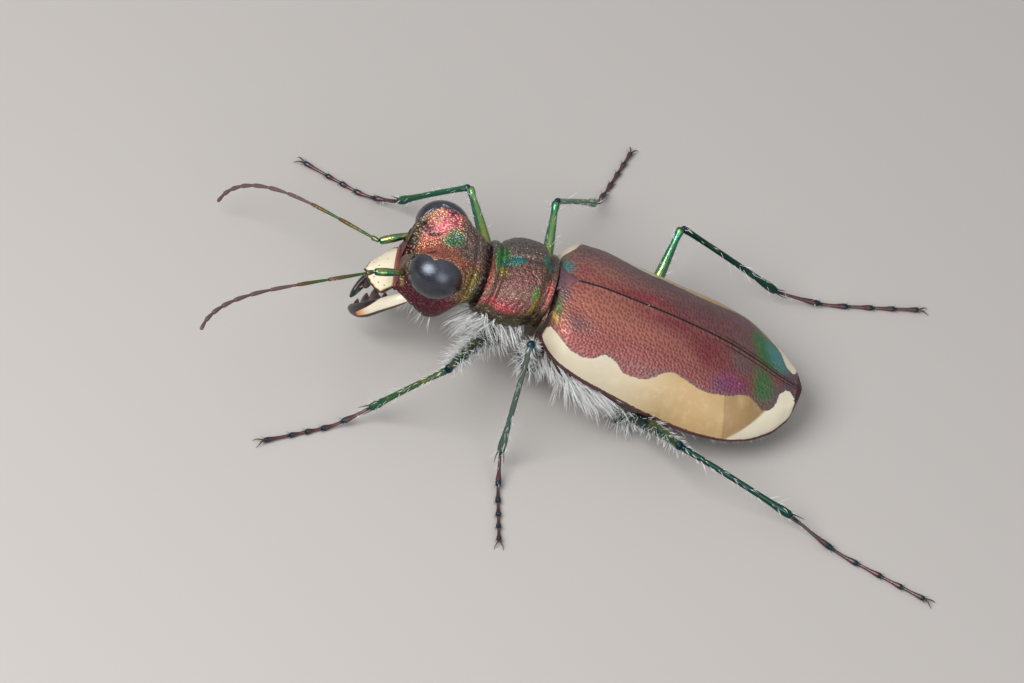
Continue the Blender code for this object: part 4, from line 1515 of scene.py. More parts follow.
@dataclass(frozen=True)
class Underside:
    """The trunk below the wing cases: two thorax segments and the abdomen."""

    rings: int = 90
    spots: int = 160
    inset: float = 0.925
    depth: Profile = Profile(((-0.1, 0.95), (0.6, 1.15), (1.5, 1.3), (2.6, 1.35), (3.8, 1.3), (5.0, 1.1),
                              (6.5, 0.7), (7.7, 0.1)))
    abdomen_seams: Numbers = (4.62, 5.34, 6.02, 6.66, 7.2)
    segments: tuple[tuple[str, float, float, Finish, str, Pair], ...] = (
        ("mesothorax", -0.09, 1.05, Finish.FLANK, "bronze_cuticle", (0.0, 0.28)),
        ("metathorax", 1.08, 3.85, Finish.BELLY, "bronze_cuticle", (0.3, 0.7)),
        ("abdomen", 3.88, 7.7, Finish.BELLY, "dusky_cuticle", (0.0, 1.0)))

    def surface(self, y: Array, turn: Array) -> Array:
        """Points before the relief.

        Args:
            y: places along the trunk.
            turn: angles around.

        Returns:
            Points in the trunk's frame.
        """
        cases = WingCases()
        t = clamp(y / CASE_LENGTH)
        wide, low, top = cases.margin.at(t) * self.inset, cases.edge.at(t), cases.crown.at(t)
        wide = np.minimum(wide, np.where(y < 0.6, 1.3 + 1.05 * clamp(y + 0.1), 9.0))
        sine = np.abs(np.sin(turn))
        below = low - (self.depth.at(y) + low) * sine ** 0.85
        z = np.where(np.sin(turn) > 0, low + (top - low) * 0.8 * sine, below)
        return np.stack([wide * power(np.cos(turn), 0.9), y, z], -1)

    def seams(self, y: Array, turn: Array) -> Array:
        """Height of the seams between plates, negative in a seam.

        Args:
            y: places along the trunk.
            turn: angles around.

        Returns:
            Heights in millimetres.
        """
        side = np.abs(np.cos(turn))
        height = -0.05 * hump(side, 0.62 + 0.05 * np.sin(y * 2), 0.025) * hump(y, 2.2, 1.2)
        flank = (side > 0.6) * (y > 1.0) * (y < 3.9)
        height = height - 0.05 * hump(y, 2.0 + 0.9 * (side - 0.6), 0.05) * flank
        height = height - 0.04 * hump(y, 0.45, 0.04) * (y < 1.1)
        for seam in self.abdomen_seams:
            height = height + humps(((-0.06, seam, 0.035), (0.03, seam - 0.12, 0.08)), y)
        return height * (np.sin(turn) < 0.0)

    def build(self) -> dict[str, Ground]:
        """Make and dress the three segments.

        A segment is its solid, its first and last place, its finish, its slot, and the corner and the width
        of its strip on a coat's unwrap.

        Returns:
            Their skins, for hairs.
        """
        grounds = {}
        for node, first, last, finish, slot, (corner, width) in self.segments:
            y, turn = lattice(np.linspace(first, last, self.rings), circle(self.spots, BELLY))
            plain = self.surface(y, turn)
            centre = plain.mean(axis=1)
            raised = embossed(plain, centre, self.seams(y, turn))
            shrink = 1 - 0.035 * (1 - clamp(np.minimum(y - first, last - y) / 0.06)) ** 2
            grid = centre[:, None] + (raised - centre[:, None]) * shrink[..., None]
            grounds[node] = trunk_piece(f"{node}_plates", grid, finish, slot, node, corner=(corner, 0.0),
                                        size=(width, 1.0))
        return grounds


# ---- head

@dataclass(frozen=True)
class Head:
    """The head capsule with both eyes, and the neck that goes into the shield."""

    rings: int = 150
    spots: int = 260
    lid: Profile = Profile((
        (-4.24, 0.7), (-4.05, 0.86), (-3.9, 0.98), (-3.76, 1.13), (-3.62, 1.07), (-3.45, 1.03),
        (-3.19, 1.03), (-2.64, 1.03)))
    socket: Triple = (0.78, -4.2, -0.2)
    socket_rim: tuple[Numbers, ...] = ((0.045, 0.19, 0.045), (-0.09, 0.0, 0.12))
    eye_corner: tuple[Numbers, ...] = ((0.07, -3.76, 0.1, 1.15, 0.1, 0.88, 0.2),)
    forehead: tuple[Numbers, ...] = ((-0.025, 0.36, 0.13, -3.55, 0.35), (0.035, 0.0, 0.16, -3.1, 0.22))
    neck_rings: tuple[Pair, ...] = ((0.985, 0.05), (0.96, 0.12), (0.94, 0.22), (0.93, 0.34))
    eye_swell: float = 1.03
    sections: tuple[Numbers, ...] = (
        (-4.2, -0.5, 0.68, 0.62, 0.84, -0.6, 0.7, -0.84, -0.88),
        (-4.05, -0.1, 0.83, 0.86, 0.93, -0.55, 0.78, -0.9, -0.96),
        (-3.85, 0.24, 0.99, 0.99, 1.02, -0.48, 0.84, -0.98, -1.06),
        (-3.6, 0.54, 1.07, 1.06, 1.08, -0.38, 0.93, -1.06, -1.14),
        (-3.3, 0.76, 1.06, 1.1, 1.13, -0.29, 0.97, -1.18, -1.24),
        (-3.0, 0.88, 1.04, 1.03, 1.18, -0.2, 1.0, -1.26, -1.3),
        (-2.65, 0.93, 0.98, 0.86, 1.22, -0.08, 0.92, -1.11, -1.18),
        (-2.35, 0.9, 0.88, 0.8, 1.16, 0.04, 0.7, -0.66, -0.86),
        (-2.0, 0.74, 0.7, 0.68, 0.94, 0.1, 0.6, -0.42, -0.5))
    neck: float = -2.0
    mouth_turns: tuple[float, float, int] = (0.12, 1.45, 12)
    mouth_depth: float = 0.06
    eye_rings: int = 70
    eye_spots: int = 110
    eye_tuck: float = 0.32

    def ring(self, y: float, share: Array) -> Array:
        """One section, from a row of the sections or between two of them.

        A row gives its place along the head, the height of the crown, x and z of the brow, of the side and
        of the cheek, and the height of the chin.

        Args:
            y: place along the head.
            share: shares around, 0 on the crown, 1 on the chin, 2 on the crown again.

        Returns:
            Points in the trunk's frame.
        """
        places, *outlines = zip(*self.sections)
        crown, *corners, chin = (float(through(places, outline).at(y)) for outline in outlines)
        brow, side, cheek = corners[:2], corners[2:4], corners[4:]
        around = (-0.25, 0, 0.25, 0.5, 0.75, 1, 1.25)
        wide = through(around, (-brow[0], 0, brow[0], side[0], cheek[0], 0, -cheek[0]))
        tall = through(around, (brow[1], crown, brow[1], side[1], cheek[1], chin, cheek[1]))
        folded = np.minimum(share, 2 - share)
        x = np.where(share > 1, -1.0, 1.0) * wide.at(folded)
        return np.stack([x, np.full_like(share, y), tall.at(folded)], -1)

    def relief(self, points: Array) -> Array:
        """Height of eye rims, antennal sockets and furrows.

        Args:
            points: points of the capsule, in the trunk's frame.

        Returns:
            Heights in millimetres.
        """
        spots = points * np.where(points[..., :1] < 0, (-1, 1, 1), 1)
        x, y, z = np.moveaxis(spots, -1, 0)
        reach = np.linalg.norm((spots - EYE_MIDDLE) / EYE_RADII, axis=-1)
        hole = np.linalg.norm(spots - self.socket, axis=-1)
        height = 0.025 * hump(reach, 1.05, 0.04) + humps(self.socket_rim, hole)
        height = height + humps(self.eye_corner, y, x, z)
        height = height + humps(self.forehead, x, y) * (z > -0.2) - 0.045 * hump(y, -2.42, 0.07) * (z > 0)
        return height - 0.04 * hump(np.abs(z + 0.52 + 0.1 * x ** 2), 0.0, 0.03) * hump(y, -4.2, 0.12)

    def build(self) -> Ground:
        """Make and dress the capsule, closed in front and drawn into a neck behind.

        Returns:
            Its skin, for hairs.
        """
        share = np.linspace(0.0, 2.0, self.spots, endpoint=False)
        mouth = self.sections[0][0]
        rows = [self.ring(y, share) for y in np.linspace(mouth, self.neck, self.rings)]
        face, neck = rows[0], rows[-1]
        for angle in np.linspace(*self.mouth_turns):
            rolled = shrunk(face, (math.cos(angle), 1.0, math.cos(angle)))
            rolled[:, 1] = mouth - self.mouth_depth * math.sin(angle)
            rows.insert(0, rolled)
        for scale, step in self.neck_rings:
            back = shrunk(neck, scale)
            back[:, 1] = self.neck + step
            rows.append(back)
        plain = np.array(rows)
        grid = embossed(plain, plain.mean(axis=1), self.relief(plain))
        return trunk_piece("head_capsule", grid, Finish.HEAD, "copper_cuticle", "head")

    def build_eyes(self) -> None:
        """Make and dress both eyes, tucked in under the brow."""
        lift, turn = lattice(np.linspace(-0.4975, 0.4975, self.eye_rings) * math.pi, circle(self.eye_spots))
        flat = np.cos(lift) ** (1 / self.eye_swell)
        shape = np.stack([flat * np.cos(turn), flat * np.sin(turn), np.sin(lift)], -1)
        grid = EYE_MIDDLE + shape * EYE_RADII
        x, y, z = np.moveaxis(grid, -1, 0)
        under = clamp((self.lid.at(y) - x) / 0.14) * clamp((z - 0.15) / 0.25)
        grid = EYE_MIDDLE + (grid - EYE_MIDDLE) * (1 - self.eye_tuck * under)[..., None]
        for word, side in SIDES.items():
            name = f"compound_eye_{word}"
            trunk_piece(name, mirrored(grid, side), Finish.EYE, "compound_eye", f"eye_{word}")


# ---- mouth

@dataclass(frozen=True)
class Mouth:
    """Clypeus, upper lip, jaws and palps."""

    lip_length: float = 0.92
    lip_half: float = 0.82
    lip_slope: float = math.radians(42.0)
    lip_droop: float = math.radians(29.0)
    lip_thickness: float = 0.1
    lip_front: Profile = Profile((
        (0, 1.04), (0.1, 1.0), (0.2, 0.96), (0.35, 0.93), (0.55, 0.83), (0.75, 0.68), (0.9, 0.52),
        (0.97, 0.42), (1, 0.32)))
    pores: tuple[Pair, ...] = (
        (-0.62, 0.66), (-0.42, 0.72), (-0.22, 0.76), (0.2, 0.76), (0.42, 0.72), (0.64, 0.64), (0.0, 0.5),
        (-0.8, 0.42), (0.8, 0.42), (-0.3, 0.28), (0.33, 0.3))
    jaw_path: tuple[Triple, ...] = (
        (0.8, -3.6, -0.85), (0.87, -3.85, -1.09), (0.87, -4.05, -1.38), (0.8, -4.25, -1.75),
        (0.58, -4.58, -2.42), (0.22, -4.76, -2.86))
    jaw_radius: Profile = Profile((
        (0, 0.15), (0.15, 0.18), (0.42, 0.2), (0.65, 0.225), (0.84, 0.19), (0.95, 0.13), (1, 0.05)))
    teeth: tuple[Numbers, ...] = (
        (0.74, -4.3, -1.86, 0.42, -4.37, -1.9, 0.1, -4.4, -1.84, 0.31),
        (0.64, -4.46, -2.18, 0.36, -4.51, -2.22, 0.1, -4.53, -2.14, 0.28),
        (0.46, -4.62, -2.52, 0.3, -4.65, -2.54, 0.14, -4.66, -2.44, 0.2),
        (0.84, -4.1, -1.54, 0.62, -4.16, -1.6, 0.4, -4.18, -1.56, 0.24))
    jaw_rings: int = 70
    jaw_spots: int = 44
    jaw_flatness: float = 0.62
    jaw_blade: Triple = (-0.72, -0.36, 0.6)
    tooth_blade: Triple = (-0.28, -0.42, -0.86)
    tooth_rings: int = 16
    palps: tuple[tuple[str, float, int, tuple[Triple, ...]], ...] = (
        ("maxillary", 0.078, 4,
         ((0.4, -3.4, -1.0), (0.42, -3.72, -1.55), (0.34, -4.0, -2.0), (0.26, -4.22, -2.36))),
        ("labial", 0.07, 3, ((0.19, -3.3, -1.04), (0.21, -3.6, -1.5), (0.18, -3.85, -1.86))))

    def build_clypeus(self) -> None:
        """Make the narrow plate above the lip."""
        u, turn = lattice(np.linspace(-1.0, 1.0, 61), circle(40))
        ends = np.sqrt(clamp(1 - np.abs(u) ** 5)) + 0.02
        y = -4.235 + 0.05 * u ** 2 - 0.075 * ends * np.cos(turn)
        z = -0.66 - 0.05 * u ** 2 + 0.15 * ends * power(np.sin(turn), 0.8)
        grid = STANCE.placed(np.stack([u * 0.86, y, z], -1))
        skin = Skin().hull(grid, {"along": 0.5 + 0.4 * u})
        skin.build("clypeus_plate", Finish.CLYPEUS, "copper_cuticle", ["clypeus"])

    def build_lip(self) -> None:
        """Make the upper lip: a domed plate with a scalloped dark edge."""
        u, v = lattice(np.linspace(-1.0, 1.0, 121), np.linspace(0.0, 1.0, 70))
        front = self.lip_front.at(np.abs(u)) + 0.012 * np.cos(u * 34) * (np.abs(u) < 0.9)
        slope = self.lip_slope + self.lip_droop * u ** 2
        ahead = v * front * self.lip_length
        dome = 0.07 * np.sin(v * 2.8) * (1 - 0.5 * u ** 2)
        across = u * self.lip_half * (1 + 0.03 * np.sin(v * math.pi))
        c, s = np.cos(slope), np.sin(slope)
        z = -0.79 - 0.09 * u ** 2 - ahead * s + dome * c
        middle = np.stack([across, -4.22 - ahead * c - dome * s, z], -1)
        edge = np.minimum((1 - v) * front * self.lip_length, (1 - np.abs(u)) * self.lip_half)
        thin = self.lip_thickness * (0.35 + 0.65 * clamp(edge / 0.1) ** 0.5)
        half = unit(np.stack([0.5 * u ** 3, -s, c], -1)) * thin[..., None] / 2
        pore = np.zeros_like(u)
        for place, share in self.pores:
            away = np.hypot((u - place) * self.lip_half, (v - share) * front * self.lip_length)
            pore = np.maximum(pore, clamp(1.6 - away / 0.018))
        paint = {"edge": edge, "pore": pore}
        skin = Skin().shell(STANCE.placed(middle + half), STANCE.placed(middle - half), paint)
        skin.build("upper_lip", Finish.IVORY, "ivory_cuticle", ["labrum"])

    def build_jaws(self) -> None:
        """Make both jaws, each with its teeth.

        A row of the teeth gives the root, the middle and the tip of one, and its radius at the root.
        """
        share = np.linspace(0.0, 1.0, self.jaw_rings)
        radius = self.jaw_radius.at(share)
        for word, side in SIDES.items():
            path = smoothed(mirrored(self.jaw_path, side), self.jaw_rings)
            blade = mirrored(self.jaw_blade, side)
            grid = tube(path, radius * self.jaw_flatness, radius, self.jaw_spots, blade)
            face = unit(grid - path[:, None]) @ -blade
            skin = Skin().hull(STANCE.placed(grid), {"along": share[:, None], "face": face, "tooth": 0.0})
            for *points, thick in self.teeth:
                taper = thick * np.linspace(1.0, 0.01, self.tooth_rings) ** 0.6
                way = smoothed(mirrored(np.reshape(points, (3, 3)), side), self.tooth_rings)
                cone = tube(way, taper * 0.45, taper, 18, mirrored(self.tooth_blade, side))
                skin.hull(STANCE.placed(cone), {"along": 0.5, "face": 0.0, "tooth": 1.0})
            skin.build(f"jaw_{word}", Finish.JAW, "ivory_cuticle", [f"mandible_{word}"])

    def build_palps(self) -> None:
        """Make the four palps, each of jointed clubs.

        A row of the palps gives the kind, the radius, the number of joints and the left one's middle line.
        """
        for kind, thick, joints, points in self.palps:
            for word, side in SIDES.items():
                path = STANCE.placed(smoothed(mirrored(points, side), 200))
                skin = Skin()
                ends = [joint * len(path) // joints for joint in range(joints + 1)]
                for first, last in zip(ends[:-1], ends[1:]):
                    add_joint(skin, path[first:last], thick, thick * 0.62)
                piece = f"palp_{kind}_{word}"
                skin.build(f"{piece}_joints", Finish.PALP, "palp_cuticle", [piece])


def add_joint(skin: Skin, path: Array, thick: float, neck: float, spots: int = 22, rings: int = 26,
              swell: float = 0.72, bulk: float = 0.72) -> Array:
    """Add one joint: narrow where it starts, swelling towards its far end, rounded at both.

    Args:
        skin: the piece that it joins.
        path: points along it, in the floor's frame.
        thick: largest radius.
        neck: radius where it starts.
        spots: points around.
        rings: rings along.
        swell: share of the length where it is thickest.
        bulk: how much of the swelling is there halfway.

    Returns:
        Its grid.
    """
    share = limb_shares(rings)
    waist = neck + (thick - neck) * bulk
    radius = Profile(((0, neck), (swell * 0.6, waist), (swell, thick), (1, thick * 0.86))).at(share)
    radius = np.maximum(radius * capped(share, 0.5 * thick / reaches(path)[-1]), 0.004)
    grid = tube(eased(path, rings, rings), radius, radius, spots)
    skin.hull(grid, {"along": share[:, None]})
    return grid


# ---- feelers

@dataclass(frozen=True)
class Feeler:
    """One feeler of eleven joints, swung along a curve from its socket."""

    word: str
    base: Triple
    scape: Pair
    start: Pair
    end: Pair
    powers: Pair
    scape_length: float = 0.87
    groups: tuple[str, ...] = ("base",) * 3 + ("middle",) * 3 + ("tip",) * 4
    scape_radii: Pair = (0.122, 0.066)
    overlap: float = 0.02
    line_steps: int = 1400
    root_depth: float = 0.08
    lengths: Numbers = (0.27, 1.2, 1.0, 0.88, 0.68, 0.58, 0.48, 0.42, 0.38, 0.38)
    thick: Numbers = (0.078, 0.06, 0.058, 0.058, 0.064, 0.066, 0.067, 0.067, 0.064, 0.056)
    neck: Numbers = (0.05, 0.036, 0.034, 0.034, 0.032, 0.034, 0.035, 0.036, 0.037, 0.036)

    def heading(self, azimuth: float, elevation: float) -> Array:
        """Direction from two angles.

        Args:
            azimuth: degrees outwards from straight ahead.
            elevation: degrees up.

        Returns:
            The direction, in the trunk's frame.
        """
        out, up = math.radians(azimuth), math.radians(elevation)
        side = SIDES[self.word]
        return np.array((side * math.cos(up) * math.sin(out), -math.cos(up) * math.cos(out), math.sin(up)))

    def knots(self) -> Array:
        """Ends of the joints, from the socket to the tip.

        Returns:
            Points in the trunk's frame.
        """
        points = [np.array(self.base), self.base + self.heading(*self.scape) * self.scape_length]
        for done, length in zip(running(self.lengths), self.lengths):
            share = (done + length / 2) / sum(self.lengths)
            turns = zip(self.start, self.end, self.powers)
            way = [first + (last - first) * share ** bend for first, last, bend in turns]
            points.append(points[-1] + self.heading(*way) * length)
        return np.array(points)

    def build(self) -> list[Ground]:
        """Make and dress the four pieces.

        Returns:
            The skins of the joints, for hairs.
        """
        knots = self.knots()
        line = smoothed(knots[1:], self.line_steps)
        reach = reaches(line)
        skins = {name: Skin() for name in ("scape", "base", "middle", "tip")}
        root = knots[0] - self.heading(*self.scape) * self.root_depth
        scape = smoothed((root, (knots[0] + knots[1]) / 2, knots[1]), 60)
        grid = add_joint(skins["scape"], STANCE.placed(scape), *self.scape_radii, 30, 40, 0.62)
        grounds = [Ground(grid, (0.02, 0.02), (0.07, 0.9))]
        ends = running(self.lengths) / sum(self.lengths) * reach[-1]
        for joint, (first, last) in enumerate(zip(ends[:-1], ends[1:])):
            part = line[np.searchsorted(reach, first - self.overlap):np.searchsorted(reach, last) + 1]
            radii = (self.thick[joint], self.neck[joint])
            grid = add_joint(skins[self.groups[joint]], STANCE.placed(part), *radii, 20, 30, 0.8)
            grounds.append(Ground(grid, (0.11 + 0.08 * joint, 0.02), (0.06, 0.9)))
        finishes = (Finish.SCAPE, Finish.FLAGELLUM, Finish.DULL_FLAGELLUM, Finish.DULL_FLAGELLUM)
        for (name, skin), finish in zip(skins.items(), finishes):
            slot = "dusky_cuticle" if finish is Finish.DULL_FLAGELLUM else "green_cuticle"
            skin.build(f"feeler_{self.word}_{name}", finish, slot, [f"antenna_{self.word}_{name}"])
        return grounds


# ---- legs

@dataclass(frozen=True)
class Leg:
    """One leg: coxa, femur, tibia with spurs, five tarsal joints and claws."""

    name: str
    hip: Triple
    knee: Triple
    ankle: Triple
    tip: Pair
    shares: Numbers = (0.33, 0.19, 0.17, 0.15, 0.16)
    femur_kind: Finish = Finish.FEMUR
    tibia_kind: Finish = Finish.TIBIA
    claw: tuple[Triple, ...] = (
        (-0.03, 0.0, 0.0), (0.12, 0.06, 0.025), (0.23, 0.12, -0.02), (0.29, 0.13, -0.082))
    spur: tuple[Triple, ...] = ((-0.08, 0.0, 0.07), (0.07, 0.08, 0.12), (0.17, 0.2, 0.14))
    foot_heights: tuple[Pair, ...] = ((0.17, 0.3), (0.34, 0.115), (0.6, 0.08), (0.85, 0.085), (1.0, 0.1))
    spines: tuple[Pair, ...] = ((1.0, 0.25), (-1.0, 0.25), (0.7, -0.35), (-0.7, -0.35))
    spots: int = 40
    path_steps: int = 200
    foot_steps: int = 600
    least_radius: float = 0.008
    quarter: Pair = (0.46, 0.46)
    root_depth: float = 0.22
    bow: float = 0.07
    tip_height: float = 0.09
    spine_length: float = 0.13
    spine_height: float = 0.012
    spine_radius: float = 0.01
    claw_radius: float = 0.03
    spur_radius: float = 0.027
    coxa_radius: Profile = Profile(((0, 0.2), (0.3, 0.4), (0.6, 0.34), (0.78, 0.2), (0.9, 0.17), (1, 0.13)))
    femur_radius: Profile = Profile(((0, 0.125), (0.06, 0.17), (0.24, 0.215), (0.48, 0.19), (0.74, 0.145),
                                     (0.89, 0.118), (0.96, 0.142), (1, 0.12)))
    tibia_radius: Profile = Profile(((0, 0.075), (0.03, 0.105), (0.09, 0.096), (0.45, 0.088), (0.8, 0.1),
                                     (0.955, 0.128), (1, 0.105)))

    def grounded(self, point: Sequence[float]) -> Array:
        """A point given over the trunk's own spot on the floor, in the floor's frame."""
        return np.array(point, float) + ORIGIN

    def build(self) -> dict[str, Ground]:
        """Make and dress the leg.

        A part has its solid, its word in the piece's name, its middle line, its radius, its flatness, its
        rings, its finish and the corner of its place on the coat's unwrap.

        Returns:
            The skins of its joints, for hairs.
        """
        hip, knee, ankle = STANCE.placed(self.hip), self.grounded(self.knee), self.grounded(self.ankle)
        way = unit(knee - hip)
        side = SIDES[self.name.split("_")[1]]
        inner = hip + STANCE.turned((-side * self.root_depth, 0.0, self.root_depth))
        bow = np.array((0.0, 0.0, self.bow))
        parts = (
            ("coxa", "hip", (inner, hip, hip + way * 0.62),
             self.coxa_radius, 1.0, 46, Finish.COXA, (0.02, 0.52)),
            ("femur", "thigh", (hip + way * 0.45, (hip + knee) / 2 + way * 0.2 + bow, knee),
             self.femur_radius, 0.86, 110, self.femur_kind, (0.02, 0.02)),
            ("tibia", "shin", (knee, (knee + ankle) / 2 + bow * 0.4, ankle),
             self.tibia_radius, 0.92, 100, self.tibia_kind, (0.52, 0.02)))
        grounds = {}
        for node, word, path, radius, flat, rings, finish, corner in parts:
            share = limb_shares(rings)
            size = np.maximum(radius.at(share) * capped(share, 0.02), self.least_radius)
            grid = tube(eased(path, self.path_steps, rings), size * flat, size, self.spots)
            slot = "bronze_cuticle" if node == "coxa" else "green_cuticle"
            skin = Skin().hull(grid, {"along": share[:, None]})
            skin.build(f"leg_{self.name}_{word}", finish, slot, [f"leg_{self.name}_{node}"])
            grounds[node] = Ground(grid, corner, self.quarter)
        grounds["tarsus"] = self.foot(ankle, self.grounded((*self.tip, self.tip_height)), unit(ankle - knee))
        return grounds

    def foot(self, ankle: Array, tip: Array, down: Array) -> Ground:
        """Make the tarsal joints, and the piece of claws, spurs and spines.

        Args:
            ankle: end of the shin.
            tip: end of the last joint.
            down: direction of the shin.

        Returns:
            The skin of the first joint, for hairs.
        """
        flat = (tip - ankle) * (1, 1, 0)
        ahead = unit(flat)
        across = np.cross(ahead, (0.0, 0.0, 1.0))
        marks = ((0.0, ankle[2]), *self.foot_heights)
        sole = [ankle * (1, 1, 0) + flat * share + (0, 0, z) for share, z in marks]
        line = smoothed(sole, self.foot_steps)
        cuts = (running(self.shares) * (self.foot_steps - 1)).astype(int)
        skin, horn = Skin(), Skin()
        grids = []
        for joint, (start, stop) in enumerate(zip(cuts[:-1], cuts[1:])):
            part = line[max(start - 6, 0):stop + 1]
            grids.append(add_joint(skin, part, 0.086 - 0.003 * joint, 0.044, 20, 26, 0.92, 0.25))
            for out, lift in self.spines:
                way = unit(across * out + ahead * 0.8 + (0, 0, lift)) * self.spine_length
                root = part[-8] + across * out * 0.05
                spine = np.array((root, root + way * 0.55, root + way + ahead * 0.01))
                spine[:, 2] = np.maximum(spine[:, 2], self.spine_height)
                self.spike(horn, spine, self.spine_radius)
        for hand in (-1, 1):
            self.spike(horn, tip + np.array(self.claw) @ (ahead, across * hand, (0, 0, 1)), self.claw_radius)
            self.spike(horn, ankle + np.array(self.spur) @ (down, ahead, across * hand), self.spur_radius)
        skin.build(f"leg_{self.name}_foot", Finish.TARSUS, "bronze_cuticle", [f"leg_{self.name}_tarsus"])
        horn.build(f"leg_{self.name}_claws", Finish.HORN, "claw_horn")
        return Ground(grids[0], (0.52, 0.52), self.quarter)

    def spike(self, skin: Skin, points: Any, thick: float) -> None:
        """Add one curved thorn through points from its root to its tip; thick is its radius at the root."""
        share, taper = np.linspace(0.0, 1.0, 18), thick * np.linspace(1.0, 0.03, 18) ** 0.7
        skin.hull(tube(smoothed(points, 18), taper, taper, 12), {"along": share[:, None]})


BRIGHT = {"femur_kind": Finish.BRIGHT_FEMUR, "tibia_kind": Finish.BRIGHT_TIBIA}
LEGS = (
    Leg("front_left", (0.85, -1.05, -1.0), (3.55, -2.42, 2.85), (3.44, -4.23, 0.56), (5.08, -7.04),
        (0.27, 0.19, 0.15, 0.15, 0.24)),
    Leg("front_right", (-0.85, -1.05, -1.0), (-3.88, -2.49, 2.71), (-4.82, -4.31, 0.59), (-6.06, -7.16),
        (0.27, 0.19, 0.15, 0.15, 0.24), **BRIGHT),
    Leg("middle_left", (0.9, 0.4, -1.3), (2.74, -0.25, 3.71), (4.1, -0.37, 0.52), (7.01, -0.03),
        tibia_kind=Finish.DULL_TIBIA),
    Leg("middle_right", (-0.9, 0.4, -1.3), (-4.04, 0.04, 2.71), (-6.43, 1.43, 0.56), (-9.22, 2.34),
        **BRIGHT),
    Leg("hind_left", (1.46, 3.4, -1.38), (3.97, 4.54, 2.17), (4.23, 8.16, 0.54), (5.92, 12.26),
        tibia_kind=Finish.HIND_TIBIA),
    Leg("hind_right", (-1.46, 3.4, -1.38), (-4.01, 3.75, 2.75), (-4.41, 7.03, 0.54), (-5.31, 11.34),
        femur_kind=Finish.BRIGHT_FEMUR, tibia_kind=Finish.HIND_TIBIA),
)

FEELERS = (
    Feeler("left", (0.78, -4.2, -0.18), (19, -7), (31, -10), (82, -3), (4.0, 1.0)),
    Feeler("right", (-0.78, -4.17, -0.22), (-17, -32), (35, -21), (36, -91), (1.0, 3.15)),
)


# ---- fur

